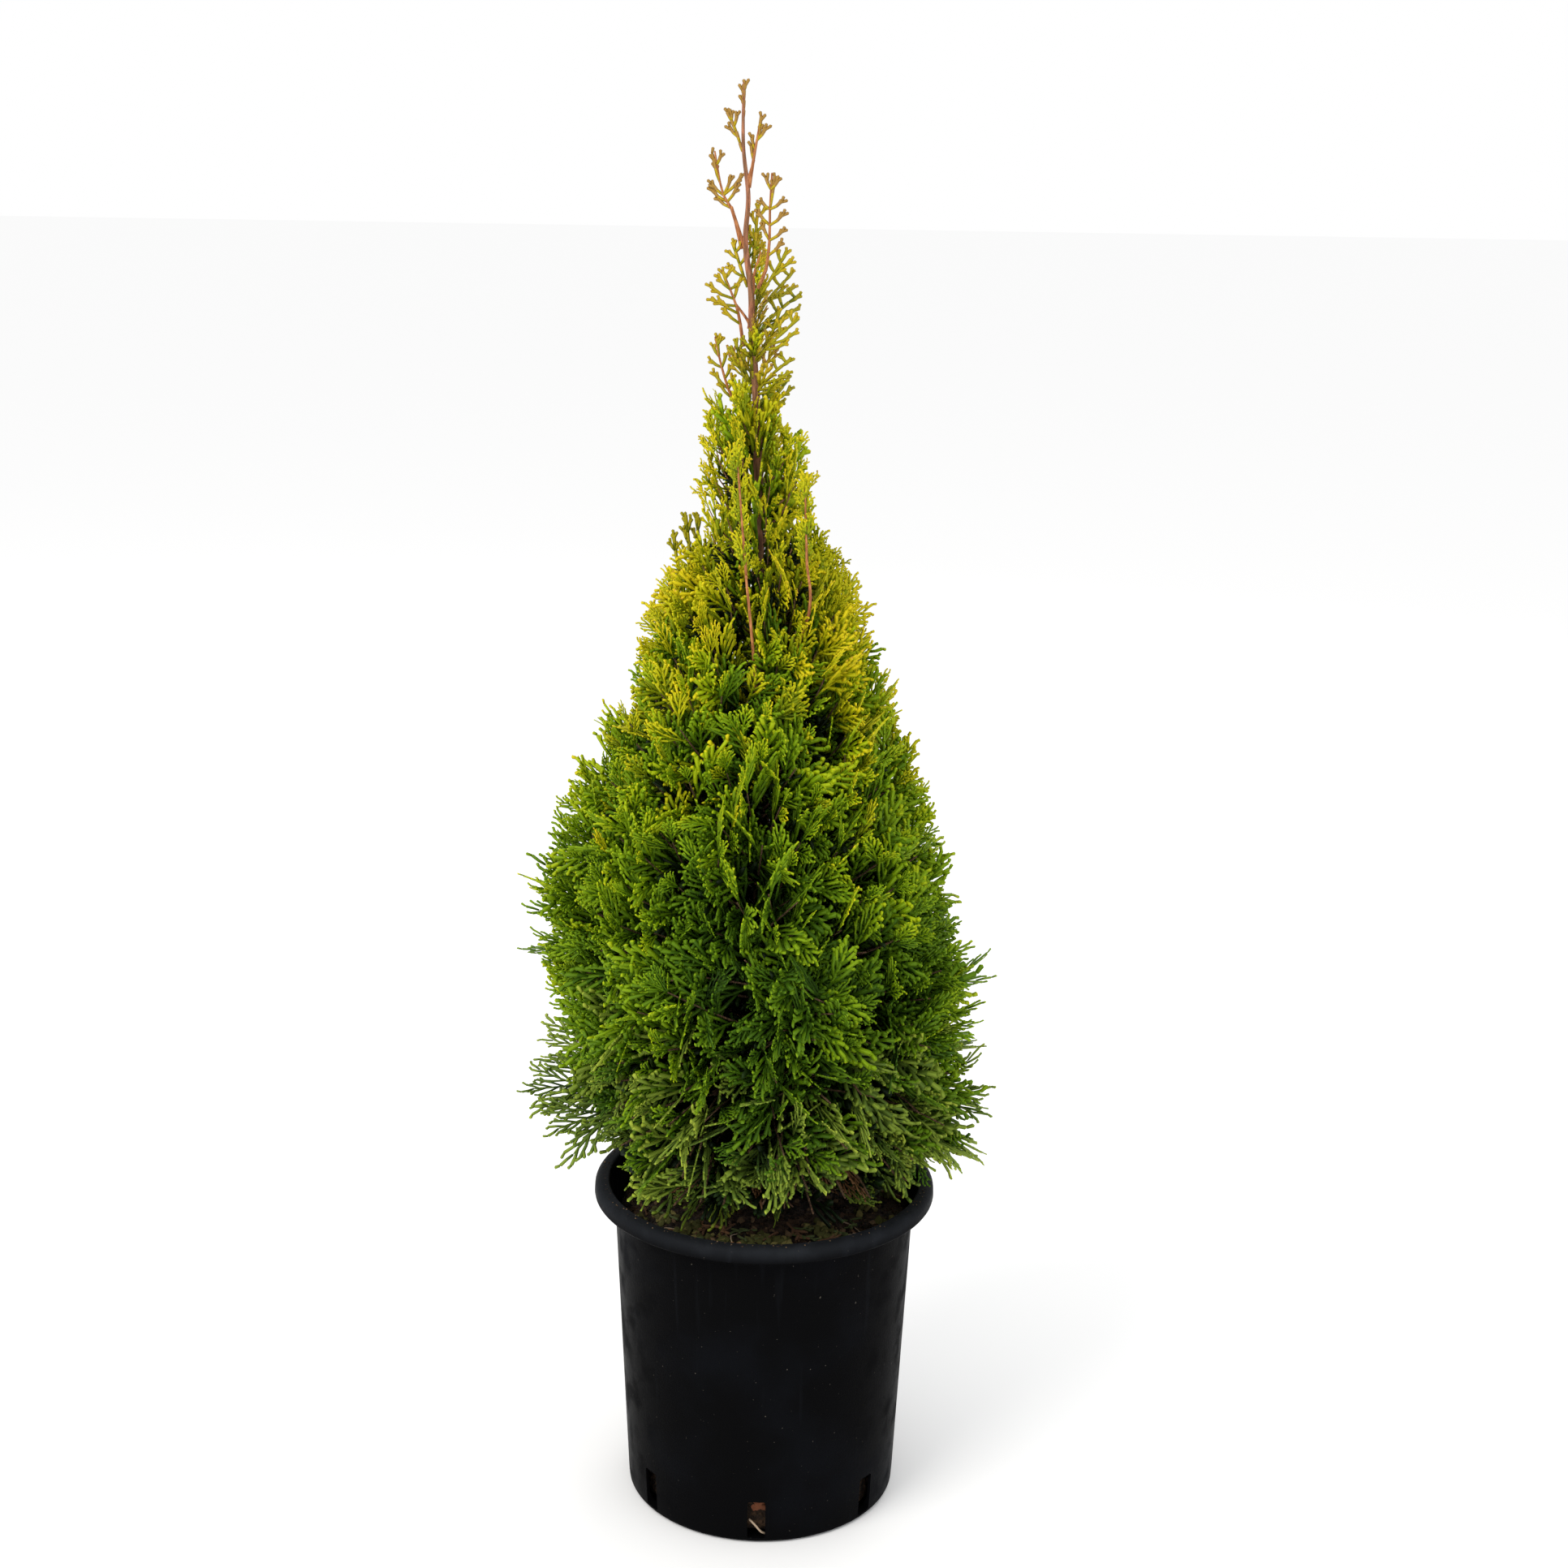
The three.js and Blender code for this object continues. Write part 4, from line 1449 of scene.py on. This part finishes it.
def sun_share(z, bearing):
    """The share of golden sprays, which start lower down at the sides."""
    z = z + 0.05 * (abs(math.sin(bearing)) - 0.6)
    return float(np.interp(z, [0.50, 0.58, 0.66], [0.0, 0.35, 1.0]))


def hollow(z, bearing):
    """How much darker the sprays are painted in the shaded hollow at the front: painted shade."""
    return 0.9 * math.exp(-((bearing / 0.5) ** 2) - ((z - 0.41) / 0.06) ** 2)


def spray_tone(end, shade=0.0):
    """A leaf colour number that is darker the further inside the crown the spray ends: painted
    shade.
    """
    rho, bearing = polar(end)
    depth = float(np.clip(1 - rho / max(envelope(end[2], bearing), BARE_REACH), -0.05, 0.6))
    shade += random.normal(0, 0.2)
    if random.random() < low_share(end[2]):
        return LOW + float(np.clip(1.5 - SMALL_INNER_PAINTED_SHADE * depth + shade, *SMALL_FAMILY_RANGE))
    if random.random() < sun_share(end[2], bearing):
        full = np.interp(end[2], [0.56, 0.66], [0.15, 0.85])
        return SUN + float(np.clip(full - SMALL_INNER_PAINTED_SHADE * depth + shade, *SMALL_FAMILY_RANGE))
    tone = np.interp(end[2], TONE_LEVELS, TONE_AT_LEVEL) - INNER_PAINTED_SHADE * depth + shade
    # Painted shade of the hollow at the front.
    tone -= hollow(end[2], bearing)
    return float(np.clip(tone, -1.0, BRIGHTEST))


def kind_at(z):
    """Long fingers low down, fans above them and narrow plumes round the leader's foot."""
    draw = random.random()
    if draw < np.interp(z, [0.29, 0.43], [0.95, 0.05]):
        return "finger"
    return "plume" if draw > np.interp(z, [0.62, 0.70], [1.0, 0.1]) else "fan"


# %% Hanging a spray
twig_parts = []
points_of = {name: [] for name in MASSES}


def add_spray(owner, place, way, normal, length, kind, tone=None):
    """A point that will carry a spray of one kind, in the piece of its owner's mass."""
    end = place + unit(way) * length
    if tone is None:
        tone = spray_tone(end)
    choice = KIND_INDEX[kind] + int(random.integers(0, VARIANTS))
    size = length / KINDS[kind]["length"]
    points_of[owner].append((place, orient(way, normal), size, choice, tone))


# %% Where sprays may hang
RIM_CLEAR = POT_HEIGHT + 0.006
LOOSE_REACH = 0.006  # how far spray tips may stand past the built crown's box


def skirt_height(bearing, rho):
    """The lowest height of a tip: the skirt is drawn in at the front and hangs over the sides."""
    front = max(math.cos(bearing - 0.12), 0) ** 2
    inside = 0.222 + 0.020 * front * max(0, rho - 0.062) / 0.03
    inside += 0.045 * math.exp(-(((bearing - 0.62) / 0.28) ** 2))
    if rho < 0.088:
        return inside
    return max(inside, RIM_CLEAR + 0.024 * front + 0.25 * front * (rho - 0.1))


def in_reach(end):
    """True for a place in the box that loose foliage keeps to."""
    low, high = cad_box
    return all(low[i] - LOOSE_REACH < end[i] < high[i] + LOOSE_REACH for i in range(3))


def fitted_length(place, way, length):
    """The spray's length, cut back so that it ends near the crown's surface; 0 to leave it out."""
    for cut in (1.0, 0.85, 0.7, 0.55):
        end = place + way * length * cut
        rho, bearing = polar(end)
        low = float(np.interp(end[2], [0.30, 0.40], [0.008, 0.0]))
        high = float(np.interp(end[2], [0.58, 0.61, 0.65, 0.69], [0.0, 0.004, 0.004, 0.0]))
        margin = 0.001 - low + high + 0.007 * random.random() ** 2
        fits = rho < surface_reach(end[2], bearing) + margin and in_reach(end)
        if fits and end[2] > skirt_height(bearing, rho):
            return length * cut
    return 0.0


# %% Sizes and path of a frond
RISE_LEVELS = [0.23, 0.28, 0.34, 0.42, 0.52, 0.62, 0.70, 0.80]
TIP_RISE = [-0.75, -0.45, -0.05, 0.45, 1.00, 1.7, 2.6, 3.6]
FROND_LENGTH = [0.075, 0.080, 0.085, 0.090, 0.090, 0.080, 0.062, 0.050]
FIRST_SPRAY, LAST_SPRAY = 0.30, 0.97  # shares of the twig's length
SPRAY_LENGTH = 0.046
SPRAY_PITCH = 0.0165
SPRAY_ANGLE = 0.58
END_SPRAY = 0.030
TWIG_RADII = (0.0011, 0.0005)


def at_level(z, values):
    return float(np.interp(z, RISE_LEVELS, values))


def frond_path(tip, way, length):
    """A twig from inside the crown to the tip, flatter where it leaves the wood."""
    rho, bearing = polar(tip)
    out = outward(bearing)
    start_way = unit(out + UP * 0.35)
    back = unit(way * 0.62 + start_way * 0.38)
    length = min(length, max(rho - 0.012, 0.014) / max(back @ out, 0.05))
    start = tip - back * length
    first, second = start + start_way * length / 3, tip - way * length / 3
    t = np.linspace(0, 1, 12)[:, None]
    bend = first * 3 * t * (1 - t) ** 2 + second * 3 * t**2 * (1 - t)
    return start * (1 - t) ** 3 + bend + tip * t**3


# %% Growing a frond
def add_frond(owner, tip, way, length, scale):
    """A twig that ends at tip and runs along way there, with sprays left and right in turn."""
    path = frond_path(tip, way, length)
    steps = np.linalg.norm(np.diff(path, axis=0), axis=1)
    along = np.concatenate([[0], np.cumsum(steps)])
    total = along[-1]
    level = unit(np.array([way[0], way[1], 0.0]))
    normal = turned_about(np.cross(UP, level), unit(way), random.normal(0, 0.6))
    shade = random.normal(0, 0.35)
    side = 1 if random.random() < 0.5 else -1
    s = total * FIRST_SPRAY
    while s < total * LAST_SPRAY:
        k = min(int(np.searchsorted(along, s)), len(path) - 1)
        tangent = unit(path[k] - path[k - 1])
        place = path[k - 1] + (path[k] - path[k - 1]) * (s - along[k - 1]) / steps[k - 1]
        size = scale * SPRAY_LENGTH * float(np.interp(s / total, [0.3, 0.6, 1], [0.9, 1.0, 0.6]))
        size *= random.uniform(0.88, 1.15)
        angle = random.normal(SPRAY_ANGLE, 0.08)
        aim = tangent * math.cos(angle) + np.cross(normal, tangent) * side * math.sin(angle)
        aim = turned_about(aim, tangent, random.normal(0, 0.20))
        face = turned_about(normal, tangent, random.normal(0, 0.20))
        kind = kind_at(place[2])
        size = fitted_length(place, aim, size * (1.2 if kind == "finger" else 1))
        if size:
            add_spray(owner, place, aim, face, size, kind, spray_tone(place + aim * size, shade))
        side = -side
        s += SPRAY_PITCH * scale * random.uniform(0.85, 1.15)
    last = unit(path[-1] - path[-3])
    size = fitted_length(path[-2], last, END_SPRAY * scale)
    if size:
        add_spray(owner, path[-2], last, normal, size, kind_at(tip[2]))
    radii = np.linspace(*TWIG_RADII, len(path)) * scale
    twig_parts.append(tube(path[::2], radii[::2], 4))


# %% Grow the fronds
for owner, tip, normal in frond_tips:
    bearing = polar(tip)[1]
    level = unit(np.array([normal[0], normal[1], 0.0]))
    out = unit(outward(bearing) * 0.55 + level * 0.45)
    out = turned_about(out, UP, random.normal(0, 0.16))
    way = unit(out + UP * (at_level(tip[2], TIP_RISE) + random.normal(0, 0.12)))
    length = at_level(tip[2], FROND_LENGTH) * random.uniform(0.8, 1.15)
    scale = float(np.interp(tip[2], [0.3, 0.6, 0.7, 0.8], [1.05, 0.92, 0.70, 0.52]))
    add_frond(owner, tip - way * random.uniform(0.002, 0.014), way, length, scale)
print("sprays", sum(len(p) for p in points_of.values()))

# %% [markdown]
# ### Long fronds at the sides
# At its widest a young thuja isn't a clean cone: single fronds with long fingers stand out from
# it. The rule above keeps to the crown's surface, so these few are placed one by one.

# %% Places of the long fronds
WING_ANGLE = 0.5
WINGS = [
    # place of the tip, rise of the tip, length, mass
    ((-0.160, -0.015, 0.302), -0.10, 0.12, "lower_foliage_6"),
    ((-0.150, 0.030, 0.320), 0.10, 0.11, "lower_foliage_5"),
    ((-0.140, -0.045, 0.286), -0.30, 0.11, "lower_foliage_6"),
    ((-0.134, 0.060, 0.290), -0.15, 0.11, "lower_foliage_5"),
    ((-0.154, 0.000, 0.443), 0.45, 0.10, "middle_foliage_7"),
    ((-0.150, -0.030, 0.418), 0.35, 0.10, "middle_foliage_7"),
    ((-0.146, 0.020, 0.362), 0.15, 0.10, "lower_foliage_6"),
    ((0.144, -0.010, 0.262), -0.50, 0.12, "lower_foliage_2"),
    ((0.136, -0.050, 0.272), -0.40, 0.11, "lower_foliage_2"),
    ((0.132, 0.045, 0.274), -0.35, 0.11, "lower_foliage_2"),
    ((0.145, -0.020, 0.304), -0.10, 0.12, "lower_foliage_2"),
    ((0.138, 0.035, 0.322), 0.05, 0.11, "lower_foliage_2"),
    ((0.142, -0.005, 0.388), 0.40, 0.10, "middle_foliage_3"),
    ((0.134, -0.045, 0.366), 0.30, 0.10, "middle_foliage_3"),
]


# %% Long fronds that stand out at the sides
def wing_tone(z):
    return random.uniform(2.4, 3.8) if z > 0.34 else LOW + random.uniform(0.3, 1.5)


def add_wing(owner, tip, way, length):
    """A sparse frond with long fingers, free to reach past the crown's surface."""
    path = frond_path(tip - way * 0.030, way, length)
    across = outward(polar(tip)[1] + 1.57)
    normal = turned_about(np.cross(way, across), way, random.normal(0, 0.5))
    side = 1
    for k in range(4, 12):
        tangent = unit(path[k] - path[k - 1])
        lean = np.cross(normal, tangent) * side * math.sin(WING_ANGLE)
        aim = unit(tangent * math.cos(WING_ANGLE) + lean)
        size = random.uniform(0.036, 0.046) * (1.0 if k > 6 else 0.85)
        while not in_reach(path[k] + aim * size):
            size *= 0.85
        face = turned_about(normal, tangent, random.normal(0, 0.2))
        add_spray(owner, path[k], aim, face, size, "finger", wing_tone(tip[2]))
        side = -side
    add_spray(owner, path[-1], way, normal, 0.034, "finger", wing_tone(tip[2]))
    twig_parts.append(tube(path[::2], np.linspace(0.0012, 0.0005, 6), 4))


for tip, rise, length, owner in WINGS:
    way = unit(outward(polar(tip)[1]) + UP * rise)
    add_wing(owner, np.array(tip), way, length)
print("side fronds", len(WINGS), "sprays", sum(len(p) for p in points_of.values()))

# %% [markdown]
# ### Sprays inside the crown
# Between the fronds the eye meets old foliage in shade, not the sky behind. A dark core would show
# as a solid, so broad sprays fill the room near the trunk, in the darkest leaf colours as painted
# shade. At the trunk's foot a few are dead and brown, as they are wherever no light comes.

# %% Dark sprays inside
THIN_CROWN = 0.035
for owner, tip, normal in frond_tips + frond_tips[::2]:
    rho, bearing = polar(tip)
    if rho < THIN_CROWN:
        continue
    out = outward(bearing + random.normal(0, 0.2))
    place = trunk_at(tip[2]) + out * rho * random.uniform(0.05, 0.42)
    place[2] = max(tip[2] - 0.01, 0.24)
    way = unit(out + UP * random.uniform(0.0, 0.6))
    face = turned_about(np.cross(UP, out), way, random.uniform(-1.5, 1.5))
    length = min(0.06, rho * 0.45)
    # The darkest leaf colours: painted shade.
    add_spray(owner, place, way, face, length, "inner", random.uniform(-2.5, -1.2))

# %% Dead sprays over the trunk's foot
DEAD_SPRAYS = 26
for _ in range(DEAD_SPRAYS):
    in_opening = random.random() < 0.7
    bearing = random.normal(0.45, 0.35) if in_opening else random.uniform(-math.pi, math.pi)
    out = outward(bearing)
    place = trunk_at(0.25) + out * random.uniform(0.030, 0.062)
    place[2] = random.uniform(0.246, 0.292)
    way = unit(out + UP * random.uniform(-1.1, -0.1))
    length = random.uniform(0.022, 0.036)
    face = turned_about(out, way, random.uniform(-1.2, 1.2))
    tone = DRY + random.uniform(-0.4, 0.6)
    add_spray("lower_foliage_1", place, way, face, length, "finger", tone)
print("sprays", sum(len(p) for p in points_of.values()))

# %% [markdown]
# ### Upright sprays round the leader's foot
# Where the crown narrows to the leader, young shoots stand straight up close to the stem. Fronds
# are too wide for so narrow a place, so single plumes stand there.

# %% Upright sprays close round the leader's foot
FOOT_PLUMES = 110
for _ in range(FOOT_PLUMES):
    z = random.uniform(0.56, 0.750)
    bearing = random.uniform(0, FULL_TURN)
    out = outward(bearing)
    place = trunk_at(z) + out * random.uniform(0.002, 0.35) * surface_reach(z, bearing)
    way = unit(out * random.uniform(0.15, 0.5) + UP)
    face = turned_about(np.cross(UP, out), way, random.normal(0, 0.7))
    size = fitted_length(place, way, random.uniform(0.032, 0.048))
    if not size:
        continue
    green = random.random() < 0.4
    tone = random.uniform(3.0, 4.4) if green else SUN + random.uniform(-0.4, 1.2)
    add_spray("spire_foliage_1", place, way, face, size, "plume", tone)

# %% [markdown]
# ## Open leader
# Above the crown the leader stands almost bare, with a few forked shoots whose every tip can be
# told apart against the sky. A rule would give it some other leader, so these shoots are laid out
# one by one: a path for the stem and a list of tips that leave it, each a finger with blunt forks.

# %% Shoots of the leader
SHOOTS = [
    # x and z of the stem in mm, x and z of the tips that leave it, turn in depth in degrees
    ([(-22.5, 955), (-22.3, 975)], [(-23.6, 972), (-21.4, 974), (-23.4, 966)], 0),
    ([(-23, 934), (-27, 946), (-33, 958)], [(-26, 956), (-30, 956), (-32, 949)], 25),
    ([(-18.5, 912), (-15, 935), (-11, 956)], [(-8, 949), (-17, 943), (-12, 948), (-18, 938)], -20),
    ([(-23, 874), (-29, 897), (-36, 909), (-41, 934)],
     [(-37, 932), (-42, 925), (-43, 915), (-45, 911), (-40, 906), (-30, 918), (-23, 921),
     (-26, 913)], 40),
    ([(-12, 850), (-7, 862), (-5, 880), (-5, 899), (-4, 921)],
     [(-8, 919), (0, 917), (-11, 904), (-12, 899), (3, 905), (4, 897), (4, 888), (-9, 890),
     (2, 880)], -45),
    ([(-15, 866), (-14, 884), (-13, 901)], [(-9, 899), (-17, 895), (-9, 890), (-18, 886)], 40),
    ([(-10, 846), (-4, 856), (1, 864), (6, 874)], [(0, 873), (9, 868), (-5, 866), (5, 863)], -35),
    ([(-12, 820), (-4, 830), (5, 838), (15, 845)],
     [(8, 848), (16, 839), (1, 844), (10, 835), (-4, 841)], 35),
    ([(-13, 804), (-5, 814), (4, 823), (14, 833)], [(8, 835), (14, 825), (1, 829), (7, 819)], -50),
    ([(-14, 802), (-7, 812), (-1, 826), (2, 836)], [(5, 831), (-5, 828), (4, 824), (-6, 820)], -20),
    ([(-21, 813), (-24, 832), (-28, 845), (-35, 861)],
     [(-30, 861), (-37, 857), (-43, 852), (-41, 847), (-38, 843), (-22, 855), (-25, 850),
     (-33, 838)], -42),
    ([(-19, 850), (-24, 864), (-29, 878)], [(-31, 872), (-24, 876), (-31, 864), (-20, 870)], 30),
    ([(-18, 858), (-15, 868), (-12, 880)], [(-10, 875), (-17, 878), (-8, 868)], 60),
    ([(-22, 768), (-30, 782), (-36, 800), (-40, 817)],
     [(-36, 816), (-42, 811), (-43, 803), (-33, 807), (-41, 795), (-30, 799), (-38, 788),
     (-27, 792)], 35),
    ([(-13, 782), (-6, 792), (2, 800), (9, 806)],
     [(4, 808), (10, 800), (-1, 804), (6, 794), (0, 790)], -40),
    ([(-12, 766), (-4, 776), (3, 784), (9, 793)], [(4, 792), (11, 786), (-2, 788), (6, 778)], 30),
    ([(-16, 800), (-13, 812), (-12, 824)], [(-9, 820), (-16, 822), (-17, 814)], 70),
    ([(-17, 790), (-22, 802), (-26, 816)], [(-22, 814), (-29, 812), (-28, 804), (-20, 808)], -40),
    ([(-12, 834), (-4, 844), (3, 851), (10, 859)], [(4, 861), (12, 852), (-2, 856), (6, 849)], 50),
    ([(-14, 828), (-13, 842), (-12, 855)], [(-8, 851), (-16, 853), (-9, 845)], 60),
    ([(-14, 790), (-16, 806), (-17, 822)], [(-13, 817), (-21, 818), (-20, 810)], 120),
    ([(-52, 645), (-55, 675), (-58, 702)], [(-55, 700), (-60, 693), (-56, 684)], 5),
    ([(-57, 640), (-62, 665), (-66, 691)], [(-68, 685), (-63, 684)], -5),
    ([(-46, 650), (-49, 678), (-51, 702)], [(-49, 698), (-53.5, 692)], 10),
]

# %% Sizes and places of the shoots
WOODY = (2, 3, 4, 10, 13)  # the longer shoots, whose stems have turned to wood
TIP_WIDTH = 0.0023
TIP_STUB = 0.0044


def spire_points(pairs, depth):
    """Places for pairs of x and z, turned about the leader so that shoots stand out in depth."""
    made = []
    for x, z in pairs:
        axis = trunk_at(z / 1000)
        away = x / 1000 - axis[0]
        made.append((axis[0] + away, axis[1] + abs(away) * math.tan(depth), z / 1000))
    return np.array(made)


# %% Tips and stems of the shoots
def leader_tip(spray, start, tip, stubs=None):
    """A finger with two or three blunt forks, built flat and then stood up facing front."""
    a, b = (np.array([p[0], p[2], 0.0]) for p in (start, tip))
    reach = b - a
    heading, length = math.atan2(reach[0], reach[1]), max(np.linalg.norm(reach), 0.004)
    first = len(spray.verts)
    close = 0.0
    if stubs is None:
        stubs = 3 if length > 0.010 else 2
        close = -0.5 * heading
        heading = heading * 1.25 + spray.rng.normal(0, 0.08)
    spray.branchlet(a, heading, length, close, TIP_WIDTH, stubs, TIP_STUB, 0.6)
    for i in range(first, len(spray.verts)):
        x, up, lift = spray.verts[i]
        share = np.clip(np.linalg.norm(np.array((x, up)) - a[:2]) / length, 0, 1)
        spray.verts[i] = np.array((x, start[1] + (tip[1] - start[1]) * share - lift, up))


def spray_stem(spray, path):
    """A green stem for a short shoot, as a chain of the same closed fingers."""
    for a, b in zip(path[:-1:2], path[2::2]):
        leader_tip(spray, a, b + (b - a) * 0.1, 0)


def leader_spray(number, stem, tips, depth):
    """One shoot: each tip leaves the stem from the nearest place well below it."""
    spray = Spray(500 + number, 0.05, (0.26, 0.50))
    path = smooth_path(spire_points(stem, depth), 9)
    for tip in spire_points(tips, depth):
        away = np.linalg.norm(path - tip, axis=1)
        below = tip[2] - path[:, 2] > 0.35 * np.abs(path[:, 0] - tip[0]) + 0.002
        k = int(np.argmin(np.where(below, away, away + 1)))
        leader_tip(spray, path[k], tip)
    leader_tip(spray, path[-3], path[-1])
    return spray, path


# %% Build the leader's shoots
shoot_parts = []


def leader_piece():
    """All shoots as one mesh, olive low down and turning to amber at the top."""
    verts, faces, finish = [], [], []
    for number, (stem, tips, depth) in enumerate(SHOOTS):
        spray, path = leader_spray(number, stem, tips, math.radians(depth))
        if number in WOODY:
            shoot_parts.append(tube(path, np.linspace(0.0013, 0.0006, len(path)), 6))
        else:
            spray_stem(spray, path)
        faces += [tuple(i + len(verts) for i in face) for face in spray.faces]
        verts += spray.verts
        high = path[-1][2]
        tone = float(np.interp(high, [0.74, 0.82, 0.88, 0.95], [-0.8, -0.4, 0.2, 1.2]))
        tone += random.normal(0, 0.3)
        steps = [np.clip(round(tone + age * AGE_AND_SHADE_STEP), 0, 3) for age in spray.ages]
        finish += [LEADER + int(step) for step in steps]
    made = mesh_object("leader_shoots", verts, faces, LEAVES)
    made.data.polygons.foreach_set("material_index", finish)
    return made


leader = leader_piece()
finish_piece(leader, "foliage", *[n for n in MASSES if n.startswith("spire_spray")])
print("leader faces", len(leader.data.polygons))

# %% [markdown]
# ### Short sprays on the leader and the two erect shoots
# Close to the leader's stem, and all along the two bare shoots at the front, sit sprays of a
# finger's width. They are too many to lay out and too small to need it, so a rule places them.

# %% Short sprays close to the leader's stem
RIGHT = math.pi / 2
for z in np.linspace(0.752, 0.868, 38):
    spread = 3.1 if z < 0.80 else 1.5
    out = outward(RIGHT + random.uniform(-spread, spread))
    place = trunk_at(z) + out * random.uniform(0.001, 0.006)
    way = unit(out * random.uniform(0.35, 0.9) + UP)
    face = turned_about(np.cross(UP, out), way, random.normal(0, 0.8))
    size = random.uniform(0.016, 0.024) * float(np.interp(z, [0.75, 0.87], [1.15, 0.8]))
    tone = random.choice([SUN, LEADER]) + random.uniform(-0.4, 0.9)
    add_spray("spire_foliage_1", place, way, face, size, "sprig", tone)

# %% Sprays of the two erect shoots
SPRIG_ANGLE = 0.34


def clothe_shoot(node):
    """Sprigs left and right along a shoot, and a thin stem from its foot to its top."""
    verts, _ = mesh_arrays(node)
    low, high = verts[verts[:, 2].argmin()], verts[verts[:, 2].argmax()]
    way = unit(high - low)
    path = np.linspace(low, high, 10)
    normal = turned_about(np.array([0.0, 1.0, 0.0]), way, random.normal(0, 0.3))
    side = 1
    for s in np.linspace(0.02, 0.92, 17):
        spot = low + (high - low) * s
        lean = np.cross(normal, way) * side * math.sin(SPRIG_ANGLE)
        aim = turned_about(way * math.cos(SPRIG_ANGLE) + lean, way, random.normal(0, 0.7))
        size, tone = random.uniform(0.010, 0.016), SUN + random.uniform(-0.4, 0.8)
        add_spray(node, spot, aim, normal, size, "sprig", tone)
        side = -side
    add_spray(node, path[-2], way, normal, 0.016, "sprig", SUN + 0.8)
    shoot_parts.append(tube(path, np.linspace(0.0010, 0.0006, 10), 5))


clothe_shoot("front_shoot_foliage")
clothe_shoot("right_shoot_foliage")
print("shoot stems", len(shoot_parts))

# %% [markdown]
# ## Foliage pieces
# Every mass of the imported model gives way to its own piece: the sprays that were hung in its
# name. One piece for the whole crown would be too heavy to load, and couldn't be changed by parts.

# %% Foliage pieces
triangles = 0
for node, points in points_of.items():
    if not points:
        continue
    piece = scatter(node + "_sprays", leaf_tree, spray_shelf, points)
    finish_piece(piece, "foliage", node)
    piece.data.calc_loop_triangles()
    triangles += len(piece.data.loop_triangles)
print("foliage triangles", triangles)

# %% [markdown]
# ## Limbs and twigs
# The boughs show only in glimpses between the sprays. Each keeps the course of its solid, read
# from its two ends and its middle, but gets a round section, a taper and the bark's relief.

# %% Limbs and twigs
LIMB_THICKNESS = {"lower": 0.0036, "middle": 0.003}
SHOOT_THICKNESS = 0.0013


def limb_tube(node):
    """A tapering tube along a limb's solid."""
    verts, _ = mesh_arrays(node)
    rho = np.array([polar(v)[0] for v in verts])
    order = np.argsort(rho + 0.3 * (verts[:, 2] - verts[:, 2].min()))
    near, far = verts[order[:4]].mean(axis=0), verts[order[-4:]].mean(axis=0)
    middle = verts[np.argsort(abs(verts[:, 2] - (near[2] + far[2]) / 2))[:6]].mean(axis=0)
    path = smooth_path([near, middle, far], 10)
    thick = LIMB_THICKNESS.get(node.split("_")[0], SHOOT_THICKNESS)
    return tube(path, np.linspace(thick, thick * 0.6, 10), 8, 0.08)


BOUGHS = [n for n in LIMBS if "bough" in n]
YOUNG_LIMBS = [n for n in LIMBS if "bough" not in n]
limb_parts = [limb_tube(node) for node in BOUGHS]
shoot_parts += [limb_tube(node) for node in YOUNG_LIMBS]
limbs = mesh_object("bough_bark", *joined(limb_parts), [BARK])
finish_piece(limbs, "bark", *BOUGHS)
shoots = mesh_object("young_shoots", *joined(shoot_parts), [YOUNG_BARK])
finish_piece(shoots, "bark", *YOUNG_LIMBS)
twigs = mesh_object("twigs", *joined(twig_parts), [BARK])
finish_piece(twigs, "bark")
print("twig faces", len(twigs.data.polygons))
clear_shelf(spray_shelf)
